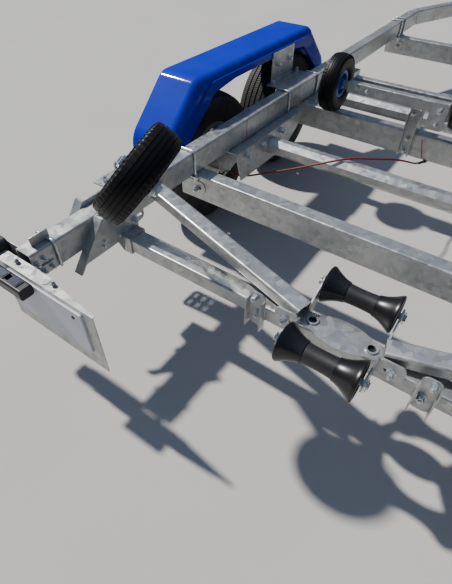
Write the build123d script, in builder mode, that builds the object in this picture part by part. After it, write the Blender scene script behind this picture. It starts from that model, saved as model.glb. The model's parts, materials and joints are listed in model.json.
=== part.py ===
from build123d import *
from math import atan2, degrees, pi, radians, tan
import os

# Boat trailer with two braked axles. Millimetres, +X to the right, +Y forward, +Z up.
# The origin is on the ground, midway along the trailer and on its centre line.
# Stations are distances forward of the rear end of the side rails.

# Side rails and drawbars, rectangular tube
rail_width = 70.0
rail_height = 100.0
rail_wall = 4.0
rail_corner = 8.0
rail_top = 578.0
rail_centre_x = 903.0
rail_length = 3700.0
drawbar_end_station = 5800.0
drawbar_end_x = 88.0

# Crossmembers under the rails
cross_depth = 66.0
cross_height = 120.0
cross_overhang = 10.0
cross_rear_station = 837.0
cross_mid_station = 1780.0
cross_front_station = 3330.0

# Rear roller tube, hung under the rails by the hanger plates
tube_depth = 70.0
tube_height = 60.0
tube_wall = 4.0
tube_station = 391.0
tube_top = 433.0
hanger_plate = 6.0
hanger_flange = 30.0
hanger_top_station = 258.0
hanger_toe_station = 126.0
hanger_front_station = 440.0
hanger_bottom = 421.0
hanger_ear_top = 597.0
hanger_step = 20.0
hanger_bolt_station = 278.0
hanger_bolt_rise = 26.0
hanger_bolt_radius = 10.0
sleeve_wall = 5.0
sleeve_length = 40.0
fit_gap = 0.3

# Axles
axle_flats = 76.0
axle_rear_station = 1345.0
axle_pitch = 770.0
axle_z = 410.0
axle_end_x = 958.0
arm_back = 165.0
arm_thickness = 38.0
arm_root_radius = 46.0
arm_tip_radius = 40.0
spindle_radius = 20.0
spindle_clearance = 0.05
spindle_tip = 30.0
backplate_radius = 118.0
backplate_offset = 65.0
backplate_thickness = 3.0

# Road wheels
tyre_radius = 325.0
tyre_width = 185.0
tread_width = 150.0
rim_radius = 178.0
rim_lip = 10.0
rim_barrel = 13.0
rim_half_width = 66.0
lip_thickness = 6.0
disc_offset = 8.0
disc_thickness = 6.0
hub_radius = 50.0
hub_end = 48.0
drum_radius = 115.0
drum_wall = 14.0
drum_depth = 62.0
wheel_x = 1129.0
vent_count = 8
vent_radius = 13.0
cap_radius = 31.0
cap_gap = 4.0
cap_rise = 10.0
tyre_belly_share = 0.46
tyre_shoulder_share = 0.07
bead_inset = 4.0
bead_run = 10.0
bead_flare = 2.0

# Mudguards over each pair of wheels
guard_width = 222.0
guard_clearance = 110.0
guard_end_gap = 47.0
guard_sheet = 4.0
guard_end_z = 430.0
guard_knee_z = 543.0
guard_knee_run = 237.0
guard_toe = 4.0
guard_foot = 100.0
guard_bend = 70.0
guard_knee_bend = 115.0
guard_inner_edge = 40.0
guard_outer_edge = 12.0
guard_band = 50.0
guard_band_rise = 8.0
guard_band_margin = 30.0
arch_drop = 60.0
arch_flat_inset = 259.0
arch_shoulder_drop = 80.0
arch_shoulder_inset = 97.0
arch_foot_drop = 19.0
arch_foot_inset = 143.0
arch_end_inset = 120.0
arch_bend = 60.0

# Guard stays: a plate on each rail with an upright to the guard, and a bar at each guard end
stay_plate = 6.0
stay_station = 1750.0
stay_half = 150.0
stay_upright_inset = 40.0
stay_bar_inset = 58.0
stay_bar_half = 15.0
stay_bar_rise = 20.0
stay_foot_height = 60.0
stay_tab_drop = 40.0

# Axle carriers under the rails
carrier_inner_x = 815.0
carrier_sheet = 4.0
carrier_bottom = 331.0
carrier_rear_run = 300.0
carrier_front_run = 335.0
carrier_flat_rear = 265.0
carrier_flat_front = 155.0
carrier_nose_z = 440.0

# Keel rollers
roller_half = 115.0
roller_end_radius = 61.0
roller_waist_radius = 31.0
roller_lip = 9.0
roller_axis_z = 490.0
roller_rear_station = 233.0
roller_front_station = 511.0
pin_radius = 10.0
pin_clearance = 0.05
bracket_gap = 6.0
bracket_plate = 5.0
bracket_eye = 24.0
bracket_foot = 66.0
bracket_foot_drop = 48.0
bracket_foot_gap = 2.0
bracket_foot_corner = 10.0
bracket_slot_length = 32.0
bracket_slot_width = 12.0
bracket_rise = 34.0
bow_foot_half = 30.0
saddle_reach = 150.0
saddle_end_half = 26.0
saddle_neck_half = 34.0
saddle_neck_inset = 8.0
saddle_belly_half = 56.0
saddle_thickness = 6.0
saddle_hole_x = 94.0
saddle_hole_radius = 13.0
collar_wall = 6.0
collar_height = 5.0

# Braces from the rails to the roller saddle, and the two channels on the roller tube
brace_width = 65.0
brace_height = 45.0
brace_wall = 4.0
brace_rail_station = 558.0
brace_rail_z = 507.0
brace_end_x = 130.0
brace_corner = 10.0
stub_x = 270.0
stub_width = 58.0
stub_depth = 30.0
stub_drop = 30.0
stub_rise = 52.0
upright_corner = 20.0

# Pneumatic side wheels
side_radius = 137.0
side_width = 85.0
side_tread_share = 0.78
side_bead_share = 0.30
side_rim_radius = 57.0
side_rim_wall = 8.0
side_rim_lip = 6.0
side_lip_gap = 2.0
side_lip_sheet = 4.0
side_disc = 10.0
side_hub_radius = 22.0
side_hub_inset = 4.0
side_rear_x = 544.0
side_rear_station = 186.0
side_rear_z = 877.0
side_lean = (0.724, -0.274, 0.633)
side_pin_spare = 14.0

# Arms of the rear side wheels: a foot on each rail, a square tube and a flat bar inboard of the tyre
side_gap = 6.0
side_bar_run = (0.64, 0.61, -0.47)
side_bar_width = 50.0
side_bar_thickness = 8.0
side_tube = 36.0
side_tube_wall = 3.0
side_tube_corner = 5.0
side_foot_station = 391.0
side_foot_x = 902.0
side_foot_half = 50.0
side_foot_plate = 6.0

# Slotted plates outboard of the rails, ahead of the hangers
slot_plate = 6.0
slot_plate_x = 1005.0
slot_plate_rear = 497.0
slot_plate_front = 605.0
slot_plate_bottom = 315.0
slot_plate_top = 620.0
slot_plate_corner = 25.0
slot_tab_rear = 385.0
slot_tab_corner = 28.0
slot_flange_z = 487.0
slot_columns = (-24.0, 24.0)
slot_rows = (345.0, 395.0, 445.0, 530.0, 575.0)
slot_length = 34.0
slot_width = 13.0

# Cross arms above the middle crossmember
arm_tube_depth = 40.0
arm_tube_height = 50.0
arm_tube_gap = 40.0
arm_tube_wall = 3.0
arm_tube_corner = 5.0
roller_pin_spare = 12.0
arm_station = 1777.0
arm_bottom = 600.0
arm_outer_x = 608.0
arm_inner_x = 122.0
arm_end_plate = 6.0
arm_inner_margin = 6.0
arm_holder_radius = 20.0
arm_seat_plate = 6.0
arm_seat_inset = 4.0
side_front_x = 681.0
arm_roller_radius = 95.0
arm_roller_width = 76.0
arm_roller_tread_share = 0.8
arm_roller_bead = 26.0
arm_roller_x = 70.0
post_x = 260.0
post_width = 56.0
post_depth = 30.0
post_wall = 5.0
post_bottom = 364.0
post_gap = 12.0

# Light board, number plate and lamps
board_left = 985.0
board_right = 550.0
board_top = 552.0
board_bottom = 300.0
board_station = -45.0
board_sheet = 3.0
board_flange = 38.0
board_flange_run = 40.0
board_flange_tip = 6.0
board_hook = 6.0
board_hook_reach = 70.0
board_hook_rise = 10.0
board_hook_drop = 30.0
plate_corner = 8.0
plate_width = 340.0
plate_height = 170.0
plate_standoff = 6.0
plate_centre_x = 768.0
plate_centre_z = 447.0
lamp_x = 1110.0
lamp_width = 240.0
lamp_height = 140.0
lamp_depth = 56.0
lamp_z = 512.0
lamp_corner = 20.0
lamp_edge = 10.0
lamp_bracket = 4.0
lamp_bracket_step = 10.0
lamp_bracket_margin = 5.0
lamp_bracket_inset = 20.0
lamp_bracket_reach = 110.0
plate_lamp_width = 150.0
plate_lamp_height = 40.0
plate_lamp_depth = 46.0
plate_lamp_x = 880.0
plate_lamp_drop = 8.0
plate_lamp_corner = 8.0

# Overrun coupling, jockey wheel and winch
coupling_reach = 410.0
coupler_axis_z = 520.0
shaft_radius = 25.0
housing_length = 330.0
housing_radius = 42.0
housing_nose = 60.0
coupler_plate = 8.0
coupler_plate_half = 130.0
coupler_plate_back = 220.0
coupler_plate_front = 10.0
coupler_web_half = 20.0
coupler_web_front = 20.0
head_reach = 250.0
head_half_width = 38.0
head_bottom_gap = 5.0
socket_radius = 26.0
socket_depth = 25.0
socket_back = 55.0
ball_z = 470.0
bellows_length = 130.0
bellows_radius = 40.0
bellows_folds = 6
bellows_fold_depth = 8.0
lever_x = 62.0
lever_length = 330.0
lever_pivot_radius = 18.0
lever_boss_radius = 28.0
lever_sheet = 14.0
jockey_station = 5330.0
jockey_tube_radius = 30.0
jockey_bore_radius = 26.0
jockey_inner_radius = 25.7
jockey_inner_wall = 5.0
jockey_outer_bottom = 400.0
jockey_outer_top = 800.0
jockey_inner_bottom = 246.0
jockey_inner_top = 620.0
jockey_wheel_radius = 110.0
jockey_wheel_width = 60.0
jockey_trail = 45.0
fork_pin_radius = 12.0
jockey_clamp_reach = 42.0
jockey_clamp_plate = 8.0
jockey_clamp_width = 150.0
jockey_clamp_neck = 56.0
jockey_clamp_margin = 8.0
jockey_cap = 8.0
jockey_crank_rise = 22.0
jockey_crank_length = 110.0
jockey_crank_radius = 7.0
jockey_grip_radius = 12.0
jockey_grip_length = 67.0
jockey_foot_length = 40.0
fork_gap = 0.3
fork_pin_length = 34.0
fork_crown = 13.0
fork_crown_back = 44.0
fork_crown_front = 32.0
fork_sheet = 6.0
fork_side_gap = 6.0
fork_eye = 18.0
jockey_axle_radius = 8.0
jockey_axle_tail = 6.0
jockey_hub_radius = 20.0
jockey_disc = 12.0
jockey_rim_depth = 34.0
jockey_rubber = 28.0
jockey_crown_inset = 12.0
jockey_crown_height = 8.0
jockey_edge_inset = 3.0
bridge_station = 5130.0
bridge_depth = 80.0
bridge_height = 60.0
winch_post_width = 70.0
winch_post_top = 1150.0
winch_z = 980.0
winch_plate = 6.0
winch_half = 58.0
winch_drop = 70.0
winch_rise = 60.0
winch_cheek_rise = 40.0
winch_cheek_reach = 30.0
drum_reach = 62.0
drum_hub_radius = 34.0
drum_margin = 10.0
crank_shaft_run = 26.0
crank_shaft_rise = 18.0
crank_shaft_radius = 9.0
crank_shaft_end = 96.0
crank_x = 90.0
crank_reach = 166.0
crank_lift = 42.0
crank_radius = 8.0
crank_grip_length = 106.0
crank_grip_radius = 13.0
bow_stop_z = 1090.0
bow_stop_height = 100.0
bow_stop_reach = 95.0
bow_stop_notch = 45.0
bow_stop_root = 50.0
bow_stop_tip_outer = 62.0
bow_stop_tip_inner = 38.0
bow_roller_z = 566.0

# Brake cables, as they run from the rear hubs to the middle crossmember
cable_radius = 4.5

# Values worked out from the sizes above
lamp_back_station = board_station - board_sheet - plate_standoff - fit_gap - plate_lamp_depth
coupling_front_station = drawbar_end_station + coupling_reach
rail_rear_y = -(lamp_back_station + coupling_front_station) / 2
rail_inner_x = rail_centre_x - rail_width / 2
rail_outer_x = rail_centre_x + rail_width / 2
rail_bottom = rail_top - rail_height
rail_mid_z = rail_top - rail_height / 2
rail_front_y = rail_rear_y + rail_length
wheel_z = tyre_radius
tube_y = rail_rear_y + tube_station
tube_mid_z = tube_top - tube_height / 2
tube_end_x = rail_inner_x - hanger_plate
SIDES = (("left", -1), ("right", 1))
AXLES = (("rear", axle_rear_station), ("front", axle_rear_station + axle_pitch))

os.makedirs("parts", exist_ok=True)


def keep(name, piece):
    """Label a finished sub-part and write it."""
    piece.part.label = name
    export_step(piece.part, f"parts/{name}.step")


def block(x_span, y_span, z_span):
    """A flat-sided piece between two values on each axis."""
    with BuildSketch(Plane.XY.offset(z_span[0])) as base:
        with Locations(((x_span[0] + x_span[1]) / 2, (y_span[0] + y_span[1]) / 2)):
            Rectangle(x_span[1] - x_span[0], y_span[1] - y_span[0])
    extrude(base.sketch, amount=z_span[1] - z_span[0])


def both_sides(x_near, x_far, sign):
    """The span from x_near to x_far on one side of the centre line, in rising order."""
    return tuple(sorted((sign * x_near, sign * x_far)))


def tube_section(width, height, wall, corner):
    """A rectangular tube's section with rounded corners."""
    RectangleRounded(width, height, corner)
    RectangleRounded(width - 2 * wall, height - 2 * wall, corner - wall / 2, mode=Mode.SUBTRACT)


def spin_plane(centre, axle):
    """A plane whose X runs outward from an axle and whose Y runs along it."""
    axle = Vector(*axle).normalized()
    up = Vector(0, 0, 1)
    radial = (up - axle * up.dot(axle)).normalized()
    return Plane(origin=centre, x_dir=radial, z_dir=radial.cross(axle))


def rod(start, end, radius, mode=Mode.ADD):
    """A round bar between two points, or a round hole."""
    start = Vector(*start)
    end = Vector(*end)
    with BuildSketch(Plane(origin=start, z_dir=end - start)) as base:
        Circle(radius)
    extrude(base.sketch, amount=(end - start).length, mode=mode)


# Side rails: straight tubes, open at the rear, mitred where the drawbars start
drawbar_start = Vector(rail_centre_x, rail_front_y, rail_mid_z)
drawbar_end = Vector(drawbar_end_x, rail_rear_y + drawbar_end_station, rail_mid_z)
drawbar_run = drawbar_end - drawbar_start
drawbar_turn = degrees(atan2(-drawbar_run.X, drawbar_run.Y))
mitre_spare = 60.0
mitre_plane = Plane(
    origin=drawbar_start, x_dir=(0, 0, 1), z_dir=Vector(0, 1, 0).rotate(Axis.Z, drawbar_turn / 2)
)

with BuildPart() as side_rails:
    rail_end = (rail_centre_x, rail_rear_y, rail_mid_z)
    with BuildSketch(Plane(origin=rail_end, x_dir=(1, 0, 0), z_dir=(0, 1, 0))):
        tube_section(rail_width, rail_height, rail_wall, rail_corner)
    extrude(amount=rail_length + mitre_spare)
    split(bisect_by=mitre_plane, keep=Keep.BOTTOM)
    mirror(about=Plane.YZ)
keep("side_rails", side_rails)

# Drawbars: the rails' tube carried inward to the coupling
drawbar_plane = Plane(
    origin=drawbar_start - drawbar_run.normalized() * mitre_spare,
    x_dir=Vector(1, 0, 0).rotate(Axis.Z, drawbar_turn),
    z_dir=drawbar_run,
)
with BuildPart() as drawbars:
    with BuildSketch(drawbar_plane):
        tube_section(rail_width, rail_height, rail_wall, rail_corner)
    extrude(amount=drawbar_run.length + mitre_spare)
    split(bisect_by=mitre_plane, keep=Keep.TOP)
    mirror(about=Plane.YZ)
keep("drawbars", drawbars)

# Crossmembers: deep tubes laid under both rails
with BuildPart() as crossmembers:
    for station in (cross_rear_station, cross_mid_station, cross_front_station):
        with BuildSketch(Plane(
            origin=(-rail_outer_x - cross_overhang, rail_rear_y + station, rail_bottom - cross_height / 2),
            x_dir=(0, 1, 0),
            z_dir=(1, 0, 0),
        )):
            tube_section(cross_depth, cross_height, rail_wall, rail_corner)
        extrude(amount=2 * (rail_outer_x + cross_overhang))
keep("crossmembers", crossmembers)

# Rear roller tube between the inner hanger plates
with BuildPart() as rear_tube:
    with BuildSketch(Plane(origin=(-tube_end_x, tube_y, tube_mid_z), x_dir=(0, 1, 0), z_dir=(1, 0, 0))):
        tube_section(tube_depth, tube_height, tube_wall, rail_corner)
    extrude(amount=2 * tube_end_x)
keep("rear_tube", rear_tube)

# Hangers: a flanged plate on each face of each rail, with a sleeve round the roller tube
sleeve_bottom = tube_top - tube_height - sleeve_wall - fit_gap
sleeve_rear = tube_station - tube_depth / 2 - sleeve_wall - fit_gap
hanger_slope = (hanger_top_station - hanger_toe_station) / (rail_top - hanger_bottom)
flange_run = hanger_plate * (1 + hanger_slope**2) ** 0.5


def hanger_face(x):
    """The YZ plane at x with its origin at the rails' rear end, X forward and Y up."""
    return Plane(origin=(x, rail_rear_y, 0), x_dir=(0, 1, 0), z_dir=(1, 0, 0))


def hanger_outline(top):
    """A hanger plate's outline up to a height, with its rear edge leaning forward."""
    Polygon(
        (hanger_toe_station + (top - hanger_bottom) * hanger_slope, top),
        (hanger_toe_station, hanger_bottom),
        (sleeve_rear - hanger_step, hanger_bottom),
        (sleeve_rear, sleeve_bottom),
        (hanger_front_station, sleeve_bottom),
        (hanger_front_station, top),
        align=None,
    )


def hanger_edge(top):
    """The flange along a hanger plate's rear edge."""
    rise = (top - hanger_bottom) * hanger_slope
    Polygon(
        (hanger_toe_station + rise, top),
        (hanger_toe_station, hanger_bottom),
        (hanger_toe_station + flange_run, hanger_bottom),
        (hanger_toe_station + rise + flange_run, top),
        align=None,
    )


with BuildPart() as hangers:
    with BuildSketch(hanger_face(rail_inner_x - hanger_plate)):
        hanger_outline(rail_top)
    extrude(amount=hanger_plate)
    with BuildSketch(hanger_face(rail_inner_x - hanger_plate - hanger_flange)):
        hanger_edge(rail_top)
    extrude(amount=hanger_flange)
    with BuildSketch(hanger_face(tube_end_x - sleeve_length)):
        with Locations((tube_station, tube_mid_z)):
            Rectangle(tube_depth + 2 * (sleeve_wall + fit_gap), tube_height + 2 * (sleeve_wall + fit_gap))
            Rectangle(tube_depth + 2 * fit_gap, tube_height + 2 * fit_gap, mode=Mode.SUBTRACT)
    extrude(amount=sleeve_length)
    with BuildSketch(hanger_face(rail_outer_x)):
        hanger_outline(hanger_ear_top)
    extrude(amount=hanger_plate)
    with BuildSketch(hanger_face(rail_outer_x + hanger_plate)):
        hanger_edge(hanger_ear_top)
    extrude(amount=hanger_flange)
    with BuildSketch(hanger_face(rail_inner_x)):
        with Locations((hanger_bolt_station, hanger_bottom + hanger_bolt_rise)):
            Circle(hanger_bolt_radius)
    extrude(amount=rail_width)
    mirror(about=Plane.YZ)
keep("hangers", hangers)

# Braces: channels, open below, from the rails down to the roller saddle
saddle_top = tube_top + saddle_thickness
brace_start = Vector(brace_end_x, tube_y, saddle_top + fit_gap)
brace_end = Vector(rail_inner_x, rail_rear_y + brace_rail_station, brace_rail_z)
brace_run = brace_end - brace_start
brace_side = Vector(0, 0, 1).cross(brace_run).normalized()
brace_spare = 60.0

with BuildPart() as braces:
    with BuildSketch(Plane(origin=brace_start, x_dir=brace_side, z_dir=brace_run)) as brace_sketch:
        with Locations((0, brace_height / 2)):
            Rectangle(brace_width, brace_height)
            fillet(brace_sketch.vertices().group_by(Axis.Z)[-1], brace_corner)
        with Locations((0, (brace_height - brace_wall) / 2)):
            Rectangle(brace_width - 2 * brace_wall, brace_height - brace_wall, mode=Mode.SUBTRACT)
    extrude(amount=brace_run.length + brace_spare)
    split(bisect_by=Plane(origin=(rail_inner_x, 0, 0), z_dir=(1, 0, 0)), keep=Keep.BOTTOM)
    mirror(about=Plane.YZ)
keep("braces", braces)


# Axles: eight-sided tube, trailing arms, spindles and brake backplates
def axle_outline():
    """The eight-sided axle section, flat side up."""
    RegularPolygon(axle_flats / 2, 8, major_radius=False, rotation=22.5)


arm_face_x = axle_end_x + arm_thickness
backplate_x = wheel_x - backplate_offset
with BuildPart() as axles:
    for name, station in AXLES:
        axle_y = rail_rear_y + station
        wheel_y = axle_y - arm_back
        with BuildSketch(Plane(origin=(0, axle_y, axle_z), x_dir=(0, 1, 0), z_dir=(1, 0, 0))):
            axle_outline()
        extrude(amount=axle_end_x)
        with BuildSketch(Plane(origin=(axle_end_x, 0, 0), x_dir=(0, 1, 0), z_dir=(1, 0, 0))):
            with BuildLine():
                CenterArc((wheel_y, wheel_z), arm_tip_radius, 0, 360)
                CenterArc((axle_y, axle_z), arm_root_radius, 0, 360)
            make_hull()
        extrude(amount=arm_thickness)
        rod((arm_face_x, wheel_y, wheel_z), (backplate_x, wheel_y, wheel_z), arm_tip_radius)
        backplate_inner_x = backplate_x - backplate_thickness
        rod((backplate_inner_x, wheel_y, wheel_z), (backplate_x, wheel_y, wheel_z), backplate_radius)
        rod((backplate_x, wheel_y, wheel_z), (wheel_x + spindle_tip, wheel_y, wheel_z), spindle_radius)
    mirror(about=Plane.YZ)
keep("axles", axles)

# Road wheels: rim, disc, hub and drum turned in one profile, then the tyre round the rim
bore = spindle_radius + spindle_clearance
WHEEL_RINGS = (
    # inner radius, outer radius, inboard face, outboard face
    (bore, hub_radius, -drum_depth, hub_end),
    (drum_radius - drum_wall, drum_radius, -drum_depth, disc_offset),
    (hub_radius, drum_radius, disc_offset - drum_wall, disc_offset),
    (hub_radius, rim_radius - rim_barrel, disc_offset, disc_offset + disc_thickness),
    (rim_radius - rim_barrel, rim_radius, -rim_half_width, rim_half_width),
    (rim_radius - rim_barrel, rim_radius + rim_lip, -rim_half_width - lip_thickness, -rim_half_width),
    (rim_radius - rim_barrel, rim_radius + rim_lip, rim_half_width, rim_half_width + lip_thickness),
    (0, cap_radius, spindle_tip + cap_gap, hub_end + cap_rise),
)


def ring_profiles(rings):
    """Rectangles for turning, one for each row of inner radius, outer radius and two faces."""
    for inner, outer, low, high in rings:
        with Locations(((inner + outer) / 2, (low + high) / 2)):
            Rectangle(outer - inner, high - low)


def tyre_profile(outer, width, tread, seat, bead_half):
    """Half of a tyre cut through its axle line: bead, side wall, shoulder and crown."""
    belly = seat + (outer - seat) * tyre_belly_share
    shoulder = outer - (outer - seat) * tyre_shoulder_share
    bead_top = seat + bead_run
    flare = bead_half + bead_flare
    with BuildLine() as outline:
        Line((seat, -bead_half), (seat, bead_half))
        Line((seat, bead_half), (bead_top, flare))
        ThreePointArc((bead_top, flare), (belly, width / 2), (shoulder, tread / 2))
        ThreePointArc((shoulder, tread / 2), (outer, 0), (shoulder, -tread / 2))
        ThreePointArc((shoulder, -tread / 2), (belly, -width / 2), (bead_top, -flare))
        Line((bead_top, -flare), (seat, -bead_half))
    make_face(outline.edges())


for axle_name, station in AXLES:
    for side_name, sign in SIDES:
        centre = (sign * wheel_x, rail_rear_y + station - arm_back, wheel_z)
        section = spin_plane(centre, (sign, 0, 0))
        spin = Axis(centre, (sign, 0, 0))
        with BuildPart() as wheel:
            with BuildSketch(section):
                ring_profiles(WHEEL_RINGS)
            revolve(axis=spin)
            with BuildSketch(Plane(origin=centre, z_dir=(sign, 0, 0))):
                with PolarLocations((drum_radius + rim_radius - rim_barrel) / 2, vent_count):
                    Circle(vent_radius)
            extrude(amount=disc_offset + 2 * disc_thickness, mode=Mode.SUBTRACT)
        keep(f"wheel_{axle_name}_{side_name}", wheel)
        with BuildPart() as tyre:
            with BuildSketch(section):
                tyre_profile(tyre_radius, tyre_width, tread_width, rim_radius, rim_half_width - bead_inset)
            revolve(axis=spin)
        keep(f"tyre_{axle_name}_{side_name}", tyre)

# Mudguards: one bent shell over both wheels of a side, with a skirt along each edge
guard_centre = axle_rear_station - arm_back + axle_pitch / 2
guard_top = 2 * tyre_radius + guard_clearance
guard_reach = axle_pitch / 2 + tyre_radius + guard_end_gap
guard_half_flat = guard_reach - guard_knee_run
guard_inner_x = wheel_x - guard_width / 2
guard_points = [
    (-guard_reach - guard_toe, guard_end_z - guard_foot),
    (-guard_reach, guard_knee_z),
    (-guard_half_flat, guard_top),
    (guard_half_flat, guard_top),
    (guard_reach, guard_knee_z),
    (guard_reach + guard_toe, guard_end_z - guard_foot),
]
arch_points = [
    (-guard_reach + arch_end_inset, guard_end_z - guard_foot),
    (-guard_reach + arch_foot_inset, guard_knee_z - arch_foot_drop),
    (-guard_half_flat + arch_shoulder_inset, guard_top - arch_shoulder_drop),
    (-guard_half_flat + arch_flat_inset, guard_top - arch_drop),
    (guard_half_flat - arch_flat_inset, guard_top - arch_drop),
    (guard_half_flat - arch_shoulder_inset, guard_top - arch_shoulder_drop),
    (guard_reach - arch_foot_inset, guard_knee_z - arch_foot_drop),
    (guard_reach - arch_end_inset, guard_end_z - guard_foot),
]
guard_plane = Plane(
    origin=(guard_inner_x, rail_rear_y + guard_centre, 0),
    x_dir=(0, 1, 0),
    z_dir=(1, 0, 0),
)


def guard_shape(inset, floor):
    """The filled side view of the guard down to a height, drawn in by inset."""
    with BuildSketch(mode=Mode.PRIVATE) as shape:
        Polygon(*guard_points, align=None)
        fillet(shape.vertices().group_by(Axis.Y)[-1], guard_bend)
        fillet(shape.vertices().group_by(Axis.Y)[1], guard_knee_bend)
        if inset:
            offset(amount=-inset, mode=Mode.REPLACE)
        with Locations((0, floor - guard_top)):
            Rectangle(4 * guard_reach, 2 * guard_top, mode=Mode.SUBTRACT)
    return shape.sketch


def arch_shape(spread):
    """The side view of the opening in the guard's side walls, widened by spread."""
    with BuildSketch(mode=Mode.PRIVATE) as shape:
        Polygon(*arch_points, align=None)
        fillet(shape.vertices().group_by(Axis.Y)[1:], arch_bend)
        if spread:
            offset(amount=spread, mode=Mode.REPLACE)
    return shape.sketch


def guard_body(inset, floor):
    """The guard as a filled body with rounded long edges, drawn in by inset."""
    with BuildPart() as body:
        with BuildSketch(guard_plane.offset(inset)):
            add(guard_shape(inset, floor))
        extrude(amount=guard_width - 2 * inset)
        for place, radius in ((0, guard_inner_edge), (-1, guard_outer_edge)):
            side_wall = body.faces().sort_by(Axis.X)[place]
            fillet(side_wall.edges().sort_by(Axis.Z)[1:], radius - inset)
    return body.part


guard_outside = guard_body(0, guard_end_z)
guard_inside = guard_body(guard_sheet, guard_end_z - guard_foot / 2)
with BuildPart() as mudguards:
    add(guard_outside)
    add(guard_inside, mode=Mode.SUBTRACT)
    with BuildSketch(guard_plane):
        add(arch_shape(0))
    extrude(amount=guard_width, mode=Mode.SUBTRACT)
    with BuildSketch(guard_plane.offset(-guard_band_rise)):
        add(arch_shape(guard_band))
        add(guard_shape(guard_band_margin, guard_end_z), mode=Mode.INTERSECT)
        add(arch_shape(0), mode=Mode.SUBTRACT)
    extrude(amount=guard_band_rise + guard_sheet)
    mirror(about=Plane.YZ)
keep("mudguards", mudguards)

# Guard stays
stay_face_x = guard_inner_x - guard_band_rise
stay_bar_top = rail_bottom + stay_bar_rise + stay_plate
with BuildPart() as guard_stays:
    stay_y = rail_rear_y + stay_station
    stay_span = (stay_y - stay_half, stay_y + stay_half)
    block((rail_inner_x, stay_face_x), stay_span, (rail_top, rail_top + stay_plate))
    block(
        (stay_face_x - stay_plate, stay_face_x),
        (stay_span[0] + stay_upright_inset, stay_span[1] - stay_upright_inset),
        (rail_top, guard_top - arch_drop + guard_band / 2),
    )
    for way in (-1, 1):
        bar_y = rail_rear_y + guard_centre + way * (guard_reach - stay_bar_inset)
        bar_span = (bar_y - stay_bar_half, bar_y + stay_bar_half)
        block((rail_outer_x, guard_inner_x), bar_span, (stay_bar_top - stay_plate, stay_bar_top))
        block(
            (rail_outer_x, rail_outer_x + stay_plate),
            bar_span,
            (stay_bar_top - stay_plate, stay_bar_top - stay_plate + stay_foot_height),
        )
        block(
            (guard_inner_x - stay_plate, guard_inner_x),
            bar_span,
            (stay_bar_top - stay_plate - stay_tab_drop, stay_bar_top),
        )
    mirror(about=Plane.YZ)
keep("guard_stays", guard_stays)

# Axle carriers: channels under the rails, open below, cut to seat the axle tubes
with BuildPart() as axle_carriers:
    for name, station in AXLES:
        carrier_outline = [
            (station - carrier_rear_run, rail_bottom),
            (station - carrier_rear_run, carrier_nose_z),
            (station - carrier_flat_rear, carrier_bottom),
            (station + carrier_flat_front, carrier_bottom),
            (station + carrier_front_run, carrier_nose_z),
            (station + carrier_front_run, rail_bottom),
        ]
        for web_x in (carrier_inner_x, rail_outer_x - carrier_sheet):
            with BuildSketch(hanger_face(web_x)):
                Polygon(*carrier_outline, align=None)
                with Locations((station, axle_z)):
                    RegularPolygon(
                        axle_flats / 2 + fit_gap, 8, major_radius=False, rotation=22.5, mode=Mode.SUBTRACT
                    )
            extrude(amount=carrier_sheet)
        block(
            (carrier_inner_x, rail_outer_x),
            (rail_rear_y + station - carrier_rear_run, rail_rear_y + station + carrier_front_run),
            (rail_bottom - carrier_sheet, rail_bottom),
        )
    mirror(about=Plane.YZ)
keep("axle_carriers", axle_carriers)

# Keel roller brackets: side plates with feet, pins, and the saddle on the roller tube
BRACKETS = (
    # roller station, station of the face it is bolted to, direction from that face to the roller
    (roller_rear_station, tube_station - tube_depth / 2, -1),
    (roller_front_station, tube_station + tube_depth / 2, 1),
)
cheek_x = roller_half + bracket_gap
with BuildPart() as roller_brackets:
    for station, face_station, way in BRACKETS:
        face_y = rail_rear_y + face_station
        foot_plane = Plane(origin=(0, face_y, 0), x_dir=(-way, 0, 0), z_dir=(0, way, 0))
        foot_x = cheek_x + bracket_foot / 2
        foot_bottom = tube_top - bracket_foot_drop
        foot_height = bracket_foot_drop - bracket_foot_gap
        for sign in (-1, 1):
            with BuildSketch(hanger_face(sign * (cheek_x + bracket_plate / 2) - bracket_plate / 2)):
                Polygon(
                    (face_station, foot_bottom),
                    (face_station, tube_top + bracket_rise),
                    (station, roller_axis_z + bracket_eye),
                    (station, roller_axis_z - bracket_eye),
                    align=None,
                )
                with Locations((station, roller_axis_z)):
                    Circle(bracket_eye)
            extrude(amount=bracket_plate)
            with BuildSketch(foot_plane) as foot:
                with Locations((-way * sign * foot_x, foot_bottom + foot_height / 2)):
                    Rectangle(bracket_foot, foot_height)
                    far_side = -1 if way * sign < 0 else 0
                    fillet(foot.vertices().group_by(Axis.X)[far_side], bracket_foot_corner)
                    SlotOverall(bracket_slot_length, bracket_slot_width, mode=Mode.SUBTRACT)
            extrude(amount=bracket_plate)
        pin_y = rail_rear_y + station
        pin_end = cheek_x + bracket_plate + roller_pin_spare
        rod((-pin_end, pin_y, roller_axis_z), (pin_end, pin_y, roller_axis_z), pin_radius)
    bow_y = rail_rear_y + cross_front_station
    for sign in (-1, 1):
        with BuildSketch(hanger_face(sign * (cheek_x + bracket_plate / 2) - bracket_plate / 2)):
            Polygon(
                (cross_front_station - bow_foot_half, rail_bottom),
                (cross_front_station + bow_foot_half, rail_bottom),
                (cross_front_station + bracket_eye, bow_roller_z),
                (cross_front_station - bracket_eye, bow_roller_z),
                align=None,
            )
            with Locations((cross_front_station, bow_roller_z)):
                Circle(bracket_eye)
        extrude(amount=bracket_plate)
    block(
        (-cheek_x - bracket_foot, cheek_x + bracket_foot),
        (bow_y - bow_foot_half, bow_y + bow_foot_half),
        (rail_bottom, rail_bottom + bracket_plate),
    )
    rod((-pin_end, bow_y, bow_roller_z), (pin_end, bow_y, bow_roller_z), pin_radius)
keep("roller_brackets", roller_brackets)

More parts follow.
